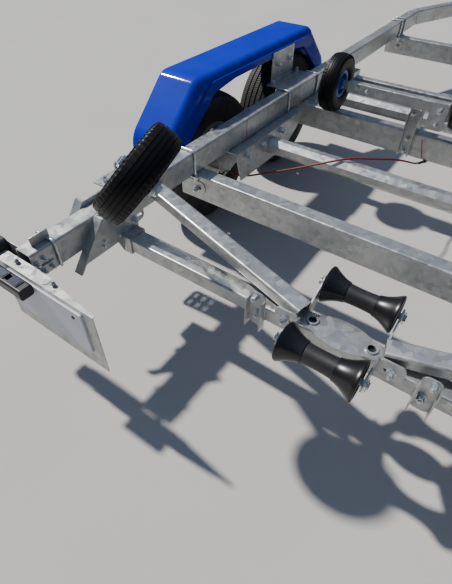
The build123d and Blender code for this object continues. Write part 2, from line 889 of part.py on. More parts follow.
saddle_neck_x = saddle_hole_x - saddle_neck_inset
with BuildPart() as saddle:
    with BuildSketch(Plane.XY.offset(tube_top)):
        with BuildLine():
            for up in (1, -1):
                end_y = tube_y + up * saddle_end_half
                neck_y = tube_y + up * saddle_neck_half
                Line((-saddle_reach, tube_y), (-saddle_reach, end_y))
                Line((-saddle_reach, end_y), (-saddle_neck_x, neck_y))
                ThreePointArc(
                    (-saddle_neck_x, neck_y),
                    (0, tube_y + up * saddle_belly_half),
                    (saddle_neck_x, neck_y),
                )
                Line((saddle_neck_x, neck_y), (saddle_reach, end_y))
                Line((saddle_reach, end_y), (saddle_reach, tube_y))
        make_face()
    extrude(amount=saddle_thickness)
    with BuildSketch(Plane.XY.offset(saddle_top)):
        with Locations((-saddle_hole_x, tube_y), (saddle_hole_x, tube_y)):
            Circle(saddle_hole_radius + collar_wall)
    extrude(amount=collar_height)
    with BuildSketch(Plane.XY.offset(tube_top)):
        with Locations((-saddle_hole_x, tube_y), (saddle_hole_x, tube_y)):
            Circle(saddle_hole_radius)
    extrude(amount=saddle_thickness + collar_height, mode=Mode.SUBTRACT)
keep("roller_saddle", saddle)


def keel_profile():
    """Half of a waisted roller cut along its pin."""
    half = roller_half
    end_radius = roller_end_radius
    waist_radius = roller_waist_radius
    lip = roller_lip
    bore_radius = pin_radius + pin_clearance
    with BuildLine() as outline:
        Line((bore_radius, -half), (end_radius - 4, -half))
        Line((end_radius - 4, -half), (end_radius, -half + 4))
        Line((end_radius, -half + 4), (end_radius, -half + lip))
        ThreePointArc((end_radius, -half + lip), (waist_radius, 0), (end_radius, half - lip))
        Line((end_radius, half - lip), (end_radius, half - 4))
        Line((end_radius, half - 4), (end_radius - 4, half))
        Line((end_radius - 4, half), (bore_radius, half))
        Line((bore_radius, half), (bore_radius, -half))
    make_face(outline.edges())


KEEL_ROLLERS = (
    ("rear", roller_rear_station, roller_axis_z),
    ("front", roller_front_station, roller_axis_z),
    ("bow", cross_front_station, bow_roller_z),
)
for name, station, axis_z in KEEL_ROLLERS:
    centre = (0, rail_rear_y + station, axis_z)
    with BuildPart() as keel_roller:
        with BuildSketch(spin_plane(centre, (1, 0, 0))):
            keel_profile()
        revolve(axis=Axis(centre, (1, 0, 0)))
    keep(f"keel_roller_{name}", keel_roller)

# Rear side wheels, leaning to meet the hull
SIDE_REAR = {}
for side_name, sign in SIDES:
    hub = Vector(sign * side_rear_x, rail_rear_y + side_rear_station, side_rear_z)
    lean = Vector(sign * side_lean[0], side_lean[1], side_lean[2]).normalized()
    SIDE_REAR[side_name] = (hub, lean)


def side_tyre(name, centre, axle):
    """A pneumatic side-wheel tyre."""
    tread = side_width * side_tread_share
    with BuildPart() as tyre:
        with BuildSketch(spin_plane(centre, axle)):
            tyre_profile(side_radius, side_width, tread, side_rim_radius, side_width * side_bead_share)
        revolve(axis=Axis(centre, axle))
    keep(name, tyre)


def side_rim(name, centre, axle):
    """A side-wheel rim with its hub tube."""
    bead = side_width * side_bead_share
    hub_half = side_width / 2 - side_hub_inset
    well = side_rim_radius - side_rim_wall
    lip = side_rim_radius + side_rim_lip
    lip_near = bead + side_lip_gap
    lip_far = lip_near + side_lip_sheet
    rings = (
        (pin_radius + pin_clearance, side_hub_radius, -hub_half, hub_half),
        (side_hub_radius, well, -side_disc / 2, side_disc / 2),
        (well, side_rim_radius, -lip_far, lip_far),
        (well, lip, -lip_far, -lip_near),
        (well, lip, lip_near, lip_far),
    )
    with BuildPart() as rim:
        with BuildSketch(spin_plane(centre, axle)):
            ring_profiles(rings)
        revolve(axis=Axis(centre, axle))
    keep(name, rim)


# Arms of the rear side wheels: foot plate, square tube, flat bar inboard of the tyre, and pin
hub, lean = SIDE_REAR["right"]
bar_dir = Vector(*side_bar_run)
bar_dir = (bar_dir - lean * bar_dir.dot(lean)).normalized()
bar_near = hub - lean * (side_width / 2 + side_gap)
foot_y = rail_rear_y + side_foot_station
bar_length = (foot_y - bar_near.Y) / bar_dir.Y
bar_end = bar_near + bar_dir * bar_length
foot = Vector(side_foot_x, foot_y, rail_top + side_foot_plate)
tube_run = bar_end - foot
with BuildPart() as side_arms:
    with BuildSketch(Plane(origin=foot - tube_run.normalized() * side_tube, x_dir=(0, 1, 0), z_dir=tube_run)):
        tube_section(side_tube, side_tube, side_tube_wall, side_tube_corner)
    extrude(amount=tube_run.length + 4 * side_tube)
    split(bisect_by=Plane(origin=(0, 0, foot.Z), z_dir=(0, 0, 1)), keep=Keep.TOP)
    split(bisect_by=Plane(origin=bar_end, z_dir=lean), keep=Keep.TOP)
    with BuildSketch(Plane(origin=bar_near, x_dir=bar_dir, z_dir=-lean)):
        with Locations((bar_length / 2, 0)):
            SlotCenterToCenter(bar_length, side_bar_width)
    extrude(amount=side_bar_thickness)
    block(
        (rail_inner_x, rail_outer_x),
        (foot_y - side_foot_half, foot_y + side_foot_half),
        (rail_top, rail_top + side_foot_plate),
    )
    rod(tuple(bar_near), tuple(hub + lean * (side_width / 2 + side_pin_spare)), pin_radius)
    mirror(about=Plane.YZ)
keep("side_arms", side_arms)

for side_name, (hub, lean) in SIDE_REAR.items():
    side_tyre(f"side_tyre_rear_{side_name}", tuple(hub), tuple(lean))
    side_rim(f"side_rim_rear_{side_name}", tuple(hub), tuple(lean))

# Slotted plates: an upright plate beside each rail, held by a tab from the hanger and a flange below
slot_plate_mid = (slot_plate_rear + slot_plate_front) / 2
with BuildPart() as slotted_plates:
    with BuildSketch(hanger_face(slot_plate_x)) as plate_sketch:
        with Locations((slot_plate_mid, (slot_plate_bottom + slot_plate_top) / 2)):
            Rectangle(slot_plate_front - slot_plate_rear, slot_plate_top - slot_plate_bottom)
        fillet(plate_sketch.vertices().group_by(Axis.Y)[0], slot_plate_corner)
        for column in slot_columns:
            for row in slot_rows:
                with Locations((slot_plate_mid + column, row)):
                    SlotOverall(slot_length, slot_width, mode=Mode.SUBTRACT)
    extrude(amount=slot_plate)
    with BuildSketch(Plane.XY.offset(hanger_ear_top - slot_plate)) as tab_sketch:
        with Locations((
            (rail_outer_x + hanger_plate + slot_plate_x) / 2,
            rail_rear_y + (slot_tab_rear + slot_plate_front) / 2,
        )):
            Rectangle(slot_plate_x - rail_outer_x - hanger_plate, slot_plate_front - slot_tab_rear)
        fillet(tab_sketch.vertices().group_by(Axis.Y)[0][-1], slot_tab_corner)
    extrude(amount=slot_plate)
    block(
        (rail_outer_x, slot_plate_x),
        (rail_rear_y + slot_plate_rear, rail_rear_y + slot_plate_front),
        (slot_flange_z, slot_flange_z + slot_plate),
    )
    mirror(about=Plane.YZ)
keep("slotted_plates", slotted_plates)

# Cross arms over the middle crossmember: two tubes, end plates, pedestal and pins
arm_y = rail_rear_y + arm_station
arm_half = arm_tube_gap / 2 + arm_tube_depth
side_front_y = arm_y - (arm_tube_gap + arm_tube_depth) / 2
cross_mid_y = rail_rear_y + cross_mid_station
arm_top = arm_bottom + arm_tube_height
arm_span = (arm_y - arm_half, arm_y + arm_half)
arm_plate_x = arm_inner_x - arm_end_plate
roller_axis = (arm_bottom + arm_top) / 2
side_holder_x = side_front_x - side_width / 2 - side_gap
side_pin_end_x = side_front_x + side_width / 2 + side_pin_spare
roller_pin_end_x = arm_roller_x - arm_roller_width / 2 - roller_pin_spare
arm_seat_bottom = arm_bottom - arm_seat_plate
seat_rear_y = cross_mid_y - cross_depth / 2 + arm_seat_inset
seat_front_y = cross_mid_y + cross_depth / 2 - arm_seat_inset
with BuildPart() as cross_arms:
    for way in (-1, 1):
        tube_centre_y = arm_y + way * (arm_tube_gap + arm_tube_depth) / 2
        with BuildSketch(Plane(
            origin=(arm_inner_x, tube_centre_y, roller_axis), x_dir=(0, 1, 0), z_dir=(1, 0, 0)
        )):
            tube_section(arm_tube_depth, arm_tube_height, arm_tube_wall, arm_tube_corner)
        extrude(amount=arm_outer_x - arm_inner_x)
    block((arm_outer_x, arm_outer_x + arm_end_plate), arm_span, (arm_bottom, arm_top))
    block((arm_plate_x, arm_inner_x), arm_span, (arm_bottom - arm_inner_margin, arm_top + arm_inner_margin))
    rod((arm_outer_x, side_front_y, roller_axis), (side_holder_x, side_front_y, roller_axis), arm_holder_radius)
    rod((arm_outer_x, side_front_y, roller_axis), (side_pin_end_x, side_front_y, roller_axis), pin_radius)
    rod((arm_plate_x, arm_y, roller_axis), (roller_pin_end_x, arm_y, roller_axis), pin_radius)
    block(
        (post_x - post_width / 2, post_x + post_width / 2),
        (seat_rear_y, arm_span[1]),
        (arm_seat_bottom, arm_bottom),
    )
    for way in (-1, 1):
        wall_x = post_x + way * (post_width - post_wall) / 2
        block(
            (wall_x - post_wall / 2, wall_x + post_wall / 2),
            (seat_rear_y, seat_front_y),
            (rail_bottom, arm_seat_bottom),
        )
    mirror(about=Plane.YZ)
keep("cross_arms", cross_arms)

# Upright channels, open to the rear, on the roller tube and on the middle crossmember
UPRIGHTS = (
    # distance from the centre line, station of the back, width, depth, wall, bottom, top
    (stub_x, tube_station - tube_depth / 2, stub_width, stub_depth, brace_wall,
     tube_top - tube_height - stub_drop, tube_top + stub_rise),
    (post_x, cross_mid_station - cross_depth / 2, post_width, post_depth, post_wall,
     post_bottom, arm_bottom - post_gap),
)
with BuildPart() as upright_channels:
    for x, back_station, width, depth, wall, bottom, top in UPRIGHTS:
        back_y = rail_rear_y + back_station
        with BuildSketch(Plane(origin=(x, back_y, 0), x_dir=(1, 0, 0), z_dir=(0, -1, 0))) as web:
            with Locations((0, (bottom + top) / 2)):
                Rectangle(width, top - bottom)
            fillet(web.vertices().group_by(Axis.Z)[-1], upright_corner)
        extrude(amount=wall)
        for way in (-1, 1):
            flange_x = x + way * (width - wall) / 2
            block(
                (flange_x - wall / 2, flange_x + wall / 2),
                (back_y - depth, back_y),
                (bottom, top - upright_corner),
            )
    mirror(about=Plane.YZ)
keep("upright_channels", upright_channels)

for side_name, sign in SIDES:
    centre = (sign * side_front_x, side_front_y, roller_axis)
    side_tyre(f"side_tyre_front_{side_name}", centre, (sign, 0, 0))
    side_rim(f"side_rim_front_{side_name}", centre, (sign, 0, 0))
    centre = (sign * arm_roller_x, arm_y, roller_axis)
    tread = arm_roller_width * arm_roller_tread_share
    roller_bore = pin_radius + pin_clearance
    with BuildPart() as arm_roller:
        with BuildSketch(spin_plane(centre, (sign, 0, 0))):
            tyre_profile(arm_roller_radius, arm_roller_width, tread, roller_bore, arm_roller_bead)
        revolve(axis=Axis(centre, (sign, 0, 0)))
    keep(f"arm_roller_{side_name}", arm_roller)

# Number plate board on the left rail's end, with its lead-in flange, and the tail lamp brackets
board_y = rail_rear_y + board_station
bracket_y = rail_rear_y + lamp_bracket_step
bracket_heights = (rail_bottom + lamp_bracket_margin, rail_top - lamp_bracket_margin)
with BuildPart() as lamp_boards:
    block((-board_left, -board_right), (board_y - board_sheet, board_y), (board_bottom, board_top))
    with BuildSketch(Plane.XY.offset(board_top - board_sheet)):
        Polygon(
            (-board_left, board_y - board_sheet),
            (-board_right, board_y - board_sheet),
            (-board_right, board_y + board_flange_tip),
            (-rail_inner_x + board_flange_run, board_y + board_flange),
            (-board_left, board_y + board_flange),
            align=None,
        )
    extrude(amount=board_sheet)
    block(
        (-rail_inner_x, -rail_inner_x + board_hook),
        (board_y, rail_rear_y + board_hook_reach),
        (rail_bottom + board_hook_rise, board_top - board_hook_drop),
    )
    for way in (-1, 1):
        block(
            both_sides(rail_outer_x, lamp_x + lamp_width / 2 - lamp_bracket_inset, way),
            (bracket_y, bracket_y + lamp_bracket),
            bracket_heights,
        )
        block(
            both_sides(rail_outer_x, rail_outer_x + lamp_bracket, way),
            (bracket_y, rail_rear_y + lamp_bracket_reach),
            bracket_heights,
        )
keep("lamp_boards", lamp_boards)

with BuildPart() as number_plate:
    plate_back = (-plate_centre_x, board_y - board_sheet, plate_centre_z)
    with BuildSketch(Plane(origin=plate_back, x_dir=(1, 0, 0), z_dir=(0, -1, 0))):
        RectangleRounded(plate_width, plate_height, plate_corner)
    extrude(amount=plate_standoff)
keep("number_plate", number_plate)

# Lamps: a tail lamp outboard of each rail and the plate lamp behind the plate's upper edge
with BuildPart() as rear_lamps:
    with BuildSketch(Plane(origin=(lamp_x, bracket_y, lamp_z), x_dir=(1, 0, 0), z_dir=(0, -1, 0))):
        RectangleRounded(lamp_width, lamp_height, lamp_corner)
    extrude(amount=lamp_depth)
    fillet(rear_lamps.faces().sort_by(Axis.Y)[0].edges(), lamp_edge)
    mirror(about=Plane.YZ)
    plate_lamp_z = board_top - plate_lamp_drop - plate_lamp_height / 2
    with BuildSketch(hanger_face(-plate_lamp_x)):
        with Locations((lamp_back_station + plate_lamp_depth / 2, plate_lamp_z)):
            RectangleRounded(plate_lamp_depth, plate_lamp_height, plate_lamp_corner)
    extrude(amount=plate_lamp_width / 2, both=True)
keep("rear_lamps", rear_lamps)

# Overrun coupling: housing between the drawbars, shaft with bellows, and the ball coupling
nose_y = rail_rear_y + drawbar_end_station
lever_y = nose_y + coupler_web_front
housing_front = nose_y + housing_nose
with BuildPart() as coupling_housing:
    rod((0, housing_front - housing_length, coupler_axis_z), (0, housing_front, coupler_axis_z), housing_radius)
    block(
        (-coupler_plate_half, coupler_plate_half),
        (nose_y - coupler_plate_back, nose_y - coupler_plate_front),
        (rail_bottom - coupler_plate, rail_bottom),
    )
    block(
        (-coupler_web_half, coupler_web_half),
        (nose_y - coupler_plate_back, nose_y + coupler_web_front),
        (rail_bottom - coupler_plate, coupler_axis_z),
    )
    rod((0, housing_front, coupler_axis_z), (0, nose_y + head_reach, coupler_axis_z), shaft_radius)
    rod((0, lever_y, coupler_axis_z), (lever_x, lever_y, coupler_axis_z), lever_pivot_radius)
keep("coupling_housing", coupling_housing)

with BuildPart() as bellows:
    with BuildSketch(spin_plane((0, housing_front + bellows_length / 2, coupler_axis_z), (0, 1, 0))):
        with BuildLine():
            pitch = bellows_length / bellows_folds
            half = bellows_length / 2
            root = bellows_radius - bellows_fold_depth
            Line((shaft_radius, -half), (root, -half))
            for fold in range(bellows_folds):
                low = -half + fold * pitch
                Line((root, low), (bellows_radius, low + pitch / 2))
                Line((bellows_radius, low + pitch / 2), (root, low + pitch))
            Line((root, half), (shaft_radius, half))
            Line((shaft_radius, half), (shaft_radius, -half))
        make_face()
    revolve(axis=Axis((0, 0, coupler_axis_z), (0, 1, 0)))
keep("bellows", bellows)

head_y = nose_y + head_reach
head_front_y = rail_rear_y + coupling_front_station
with BuildPart() as coupling_head:
    with BuildSketch(Plane(origin=(0, 0, 0), x_dir=(0, 1, 0), z_dir=(1, 0, 0))):
        with BuildLine():
            Polyline(
                (head_y, coupler_axis_z - 30),
                (head_y + 60, ball_z - head_bottom_gap),
                (head_front_y - 6, ball_z - head_bottom_gap),
                (head_front_y, ball_z + 15),
                (head_front_y - 30, coupler_axis_z + 20),
                (head_y, coupler_axis_z + 32),
                close=True,
            )
        make_face()
    extrude(amount=head_half_width, both=True)
    with BuildSketch(Plane.XY.offset(ball_z - head_bottom_gap)):
        with Locations((0, head_front_y - socket_back)):
            Circle(socket_radius)
    extrude(amount=socket_depth + head_bottom_gap, mode=Mode.SUBTRACT)
    rod((0, head_y + 30, coupler_axis_z + 26), (0, head_y + 10, coupler_axis_z + 70), 10)
    rod((0, head_y + 10, coupler_axis_z + 66), (0, head_y - 110, coupler_axis_z + 92), 12)
keep("coupling_head", coupling_head)

with BuildPart() as handbrake_lever:
    grip_y = lever_y - 60
    grip_z = coupler_axis_z + lever_length
    rod(
        (lever_x + fit_gap, lever_y, coupler_axis_z),
        (lever_x + lever_sheet, lever_y, coupler_axis_z),
        lever_boss_radius,
    )
    rod((lever_x + 8, lever_y, coupler_axis_z + 10), (lever_x + 8, grip_y + 20, grip_z - 110), 7)
    rod((lever_x + 8, grip_y + 20, grip_z - 112), (lever_x + 8, grip_y, grip_z), 14)
keep("handbrake_lever", handbrake_lever)

# Jockey wheel: clamp and outer tube, sliding tube, swivelling fork and wheel
jockey_y = rail_rear_y + jockey_station
drawbar_slope = (rail_centre_x - drawbar_end_x) / (drawbar_end_station - rail_length)
drawbar_normal = Vector(1, 0, 0).rotate(Axis.Z, drawbar_turn)
face_reach = rail_width / 2 / drawbar_normal.X
face_x = drawbar_end_x + (drawbar_end_station - jockey_station) * drawbar_slope + face_reach
jockey_x = face_x + jockey_clamp_reach / drawbar_normal.X
clamp_foot = Vector(jockey_x, jockey_y, rail_bottom + jockey_clamp_margin) - drawbar_normal * jockey_clamp_reach
with BuildPart() as jockey_outer:
    rod((jockey_x, jockey_y, jockey_outer_bottom), (jockey_x, jockey_y, jockey_outer_top), jockey_tube_radius)
    clamp_plane = Plane(origin=clamp_foot, x_dir=drawbar_normal, z_dir=(0, 0, 1))
    with BuildSketch(clamp_plane):
        with Locations((jockey_clamp_plate / 2, 0)):
            Rectangle(jockey_clamp_plate, jockey_clamp_width)
        with Locations((jockey_clamp_reach / 2, 0)):
            Rectangle(jockey_clamp_reach, jockey_clamp_neck)
    extrude(amount=rail_height - 2 * jockey_clamp_margin)
    rod(
        (jockey_x, jockey_y, jockey_outer_bottom),
        (jockey_x, jockey_y, jockey_outer_top - jockey_cap),
        jockey_bore_radius,
        mode=Mode.SUBTRACT,
    )
    handle_z = jockey_outer_top + jockey_crank_rise - jockey_crank_radius
    handle_x = jockey_x + jockey_crank_length
    grip_bottom = handle_z - jockey_crank_radius
    rod((jockey_x, jockey_y, jockey_outer_top), (jockey_x, jockey_y, handle_z), crank_shaft_radius)
    rod((jockey_x, jockey_y, handle_z), (handle_x, jockey_y, handle_z), jockey_crank_radius)
    grip_top = handle_z + jockey_grip_length
    rod((handle_x, jockey_y, grip_bottom), (handle_x, jockey_y, grip_top), jockey_grip_radius)
keep("jockey_outer", jockey_outer)

sleeve_top = jockey_inner_bottom + jockey_foot_length
with BuildPart() as jockey_inner:
    rod(
        (jockey_x, jockey_y, jockey_inner_bottom),
        (jockey_x, jockey_y, jockey_inner_top),
        jockey_inner_radius,
    )
    rod(
        (jockey_x, jockey_y, sleeve_top),
        (jockey_x, jockey_y, jockey_inner_top),
        jockey_inner_radius - jockey_inner_wall,
        mode=Mode.SUBTRACT,
    )
    rod(
        (jockey_x, jockey_y, jockey_inner_bottom),
        (jockey_x, jockey_y, sleeve_top),
        fork_pin_radius + pin_clearance,
        mode=Mode.SUBTRACT,
    )
keep("jockey_inner", jockey_inner)

crown_top = jockey_inner_bottom - fork_gap
crown_bottom = crown_top - fork_crown
jockey_wheel_y = jockey_y - jockey_trail
cheek_gap = jockey_wheel_width / 2 + fork_side_gap
fork_half = cheek_gap + fork_sheet
axle_half = fork_half + jockey_axle_tail
fork_pin_top = jockey_inner_bottom + fork_pin_length
with BuildPart() as jockey_fork:
    rod((jockey_x, jockey_y, crown_top), (jockey_x, jockey_y, fork_pin_top), fork_pin_radius)
    block(
        (jockey_x - fork_half, jockey_x + fork_half),
        (jockey_y - fork_crown_back, jockey_y + fork_crown_front),
        (crown_bottom, crown_top),
    )
    for sign in (-1, 1):
        fork_mid_x = jockey_x + sign * (cheek_gap + fork_sheet / 2)
        with BuildSketch(Plane(origin=(fork_mid_x, jockey_y, 0), x_dir=(0, 1, 0), z_dir=(1, 0, 0))):
            Polygon(
                (-fork_crown_back, crown_bottom),
                (fork_crown_front, crown_bottom),
                (-jockey_trail + fork_eye, jockey_wheel_radius),
                (-jockey_trail - fork_eye, jockey_wheel_radius),
                align=None,
            )
            with Locations((-jockey_trail, jockey_wheel_radius)):
                Circle(fork_eye)
        extrude(amount=fork_sheet / 2, both=True)
    rod(
        (jockey_x - axle_half, jockey_wheel_y, jockey_wheel_radius),
        (jockey_x + axle_half, jockey_wheel_y, jockey_wheel_radius),
        jockey_axle_radius,
    )
keep("jockey_fork", jockey_fork)

jockey_half = jockey_wheel_width / 2
jockey_edge = jockey_half - jockey_edge_inset
jockey_crown = jockey_half - jockey_crown_inset
jockey_shoulder = jockey_wheel_radius - jockey_crown_height
jockey_centre = (jockey_x, jockey_wheel_y, jockey_wheel_radius)
JOCKEY_RINGS = (
    # inner radius, outer radius, left face, right face
    (jockey_axle_radius + pin_clearance, jockey_hub_radius, -jockey_half, jockey_half),
    (jockey_hub_radius, jockey_wheel_radius - jockey_rubber, -jockey_disc / 2, jockey_disc / 2),
    (jockey_wheel_radius - jockey_rim_depth, jockey_shoulder, -jockey_edge, jockey_edge),
    (jockey_shoulder, jockey_wheel_radius, -jockey_crown, jockey_crown),
)
with BuildPart() as jockey_wheel:
    with BuildSketch(spin_plane(jockey_centre, (1, 0, 0))):
        ring_profiles(JOCKEY_RINGS)
    revolve(axis=Axis(jockey_centre, (1, 0, 0)))
keep("jockey_wheel", jockey_wheel)

# Winch post on a bridge across the drawbars, with the winch and the bow stop
bridge_y = rail_rear_y + bridge_station
bridge_half = drawbar_end_x + (drawbar_end_station - bridge_station) * drawbar_slope + 60
bridge_top = rail_top + bridge_height
with BuildPart() as winch_post:
    with BuildSketch(Plane(
        origin=(-bridge_half, bridge_y, rail_top + bridge_height / 2), x_dir=(0, 1, 0), z_dir=(1, 0, 0)
    )):
        tube_section(bridge_depth, bridge_height, rail_wall, rail_corner)
    extrude(amount=2 * bridge_half)
    with BuildSketch(Plane.XY.offset(bridge_top)):
        with Locations((0, bridge_y)):
            tube_section(winch_post_width, winch_post_width, rail_wall, rail_corner)
    extrude(amount=winch_post_top - bridge_top)
keep("winch_post", winch_post)

post_face_y = bridge_y - winch_post_width / 2
drum_y = post_face_y - drum_reach
with BuildPart() as winch:
    block(
        (-winch_half, winch_half),
        (post_face_y - winch_plate, post_face_y),
        (winch_z - winch_drop, winch_z + winch_rise),
    )
    for sign in (-1, 1):
        cheek_mid_x = sign * (winch_half - winch_plate / 2)
        with BuildSketch(Plane(origin=(cheek_mid_x, 0, 0), x_dir=(0, 1, 0), z_dir=(1, 0, 0))):
            Polygon(
                (post_face_y, winch_z - winch_drop),
                (post_face_y, winch_z + winch_rise),
                (drum_y - drum_margin, winch_z + winch_cheek_rise),
                (drum_y - drum_margin - winch_cheek_reach, winch_z),
                (drum_y - drum_margin, winch_z - winch_cheek_rise),
                align=None,
            )
        extrude(amount=winch_plate / 2, both=True)
    rod((-winch_half, drum_y, winch_z), (winch_half, drum_y, winch_z), drum_hub_radius)
    crank_y = drum_y + crank_shaft_run
    crank_z = winch_z + crank_shaft_rise
    crank_tip_y = crank_y - crank_reach
    crank_tip_z = crank_z + crank_lift
    grip_end_x = crank_x + crank_grip_length
    rod((winch_half, crank_y, crank_z), (crank_shaft_end, crank_y, crank_z), crank_shaft_radius)
    rod((crank_x, crank_y, crank_z), (crank_x, crank_tip_y, crank_tip_z), crank_radius)
    rod((crank_x, crank_tip_y, crank_tip_z), (grip_end_x, crank_tip_y, crank_tip_z), crank_grip_radius)
keep("winch", winch)

bow_stop_tip_y = post_face_y - bow_stop_reach
with BuildPart() as bow_stop:
    with BuildSketch(Plane.XY.offset(bow_stop_z - bow_stop_height / 2)):
        Polygon(
            (-bow_stop_root, post_face_y - fit_gap),
            (bow_stop_root, post_face_y - fit_gap),
            (bow_stop_tip_outer, bow_stop_tip_y),
            (bow_stop_tip_inner, bow_stop_tip_y),
            (0, post_face_y - bow_stop_notch),
            (-bow_stop_tip_inner, bow_stop_tip_y),
            (-bow_stop_tip_outer, bow_stop_tip_y),
            align=None,
        )
    extrude(amount=bow_stop_height)
keep("bow_stop", bow_stop)

# Brake cables: straight runs joined by arcs, from each rear hub to the middle crossmember
CABLE_ROUTE = (
    # distance from the centre line, station, height
    (backplate_x - backplate_thickness - fit_gap, 1230, 268),
    (1012, 1230, 268),
    (975, 1220, 266),
    (905, 1165, 292),
    (826, 1146, 321),
    (745, 1188, 346),
    (665, 1223, 371),
    (580, 1258, 402),
    (491, 1294, 437),
    (401, 1345, 466),
    (306, 1404, 466),
    (225, 1533, 432),
    (172, 1700, 353.2),
    (128, 1790, 353.2),
)


def bend_radii(points):
    """For each corner, the largest arc that leaves a tenth of the shorter run straight."""
    radii = []
    for before, corner, after in zip(points, points[1:], points[2:]):
        run_in = Vector(*corner) - Vector(*before)
        run_out = Vector(*after) - Vector(*corner)
        half_turn = run_in.get_angle(run_out) / 2
        radii.append(0.45 * min(run_in.length, run_out.length) / tan(radians(half_turn)))
    return radii


cable_points = [(x, rail_rear_y + station, z) for x, station, z in CABLE_ROUTE]
cable_radii = bend_radii(cable_points)
print("cable bend radii", [round(radius) for radius in cable_radii])
with BuildPart() as brake_cables:
    with BuildLine() as cable_line:
        FilletPolyline(*cable_points, radius=cable_radii)
    with BuildSketch(Plane(origin=cable_line.line @ 0, z_dir=cable_line.line % 0)):
        Circle(cable_radius)
    sweep(path=cable_line.line)
    cable_wire = cable_line.wires()[0]
    cable_share = brake_cables.part.volume / (cable_wire.length * pi * cable_radius**2)
    print("cable length", round(cable_wire.length), "volume over section times length", round(cable_share, 4))
    mirror(about=Plane.YZ)
keep("brake_cables", brake_cables)
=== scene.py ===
"""Finish of a twin-axle boat trailer: materials, treads, fasteners, trim, stage, light and camera."""
import json
import math

import bmesh
import bpy
from mathutils import Matrix, Vector


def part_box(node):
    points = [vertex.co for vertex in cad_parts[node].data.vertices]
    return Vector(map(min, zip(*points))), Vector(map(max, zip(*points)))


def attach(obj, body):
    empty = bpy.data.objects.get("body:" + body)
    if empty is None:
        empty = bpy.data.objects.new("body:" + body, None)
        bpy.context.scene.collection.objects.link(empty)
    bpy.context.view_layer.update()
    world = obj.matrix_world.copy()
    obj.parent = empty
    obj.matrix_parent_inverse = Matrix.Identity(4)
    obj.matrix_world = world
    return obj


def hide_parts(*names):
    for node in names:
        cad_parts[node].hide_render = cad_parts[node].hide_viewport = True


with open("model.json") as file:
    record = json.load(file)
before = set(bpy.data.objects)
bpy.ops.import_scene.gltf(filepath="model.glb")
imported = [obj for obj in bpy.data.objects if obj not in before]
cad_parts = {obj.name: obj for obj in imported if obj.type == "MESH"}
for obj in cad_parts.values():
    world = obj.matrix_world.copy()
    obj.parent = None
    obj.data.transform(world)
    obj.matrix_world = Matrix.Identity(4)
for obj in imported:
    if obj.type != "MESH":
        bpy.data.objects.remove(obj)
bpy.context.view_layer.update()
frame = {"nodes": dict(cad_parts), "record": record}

CHASSIS = "chassis"
SIDES = (("left", -1), ("right", 1))
ROWS = ("rear", "front")

# Places read from the frame, in metres
rail_low, rail_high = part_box("side_rails")
rail_rear_y = rail_low.y
rail_top = rail_high.z
rail_bottom = rail_low.z
rail_outer_x = rail_high.x
rail_width = 0.070
rail_inner_x = rail_outer_x - rail_width
rail_centre_x = rail_outer_x - rail_width / 2
hanger_sheet = 0.006
hanger_outer_x = rail_outer_x + hanger_sheet
hanger_inner_x = rail_inner_x - hanger_sheet
plate_rear_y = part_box("number_plate")[0].y
joint_axes = {joint["child"]: Vector(joint["axis"]) for joint in frame["record"]["behaviour"]["joints"]}


def station(distance):
    """The Y of a place given as its distance forward of the rails' rear end."""
    return rail_rear_y + distance


def spot(x, distance, z):
    """The point at an x, a distance forward of the rails' rear end and a height."""
    return Vector((x, station(distance), z))


# Materials


def add_node(tree, kind, **values):
    """A shader node with its settings and socket values."""
    node = tree.nodes.new(kind)
    for key, value in values.items():
        if hasattr(node, key):
            setattr(node, key, value)
        else:
            node.inputs[key.replace("_", " ")].default_value = value
    return node


def start_material(name, **shader_values):
    """A material with its shader, its tree and object coordinates."""
    material = bpy.data.materials.new(name)
    material.use_nodes = True
    tree = material.node_tree
    shader = tree.nodes["Principled BSDF"]
    for key, value in shader_values.items():
        shader.inputs[key.replace("_", " ")].default_value = value
    coordinates = tree.nodes.new("ShaderNodeTexCoord")
    return material, tree, shader, coordinates.outputs["Object"]


def noise(tree, coordinates, scale, detail=4.0, roughness=0.55):
    """A noise texture's value."""
    texture = add_node(tree, "ShaderNodeTexNoise", Scale=scale, Detail=detail, Roughness=roughness)
    tree.links.new(coordinates, texture.inputs["Vector"])
    return texture.outputs["Fac"]


def ramp(tree, value, stops):
    """A colour ramp over a value, from (position, colour) stops."""
    node = tree.nodes.new("ShaderNodeValToRGB")
    elements = node.color_ramp.elements
    for index, (position, colour) in enumerate(stops):
        element = elements[index] if index < 2 else elements.new(position)
        element.position = position
        element.color = (*colour, 1.0)
    tree.links.new(value, node.inputs["Fac"])
    return node.outputs["Color"]


def span(tree, value, low, high):
    """A value from 0 to 1 mapped to a range."""
    node = add_node(tree, "ShaderNodeMapRange", To_Min=low, To_Max=high)
    tree.links.new(value, node.inputs["Value"])
    return node.outputs["Result"]


def mix_colours(tree, share, first, second):
    """Two colours, each a tuple or a socket, mixed by a share."""
    node = add_node(tree, "ShaderNodeMix", data_type="RGBA")
    share_socket, first_socket, second_socket = node.inputs[0], node.inputs[6], node.inputs[7]
    tree.links.new(share, share_socket)
    for socket, colour in ((first_socket, first), (second_socket, second)):
        if isinstance(colour, tuple):
            socket.default_value = (*colour, 1.0)
        else:
            tree.links.new(colour, socket)
    return node.outputs[2]


def bump(tree, shader, height, strength, distance):
    """Surface relief from a height value."""
    node = add_node(tree, "ShaderNodeBump", Strength=strength, Distance=distance)
    tree.links.new(height, node.inputs["Height"])
    tree.links.new(node.outputs["Normal"], shader.inputs["Normal"])


NONE, MOST = (0.0, 0.0, 0.0), (0.6, 0.6, 0.6)


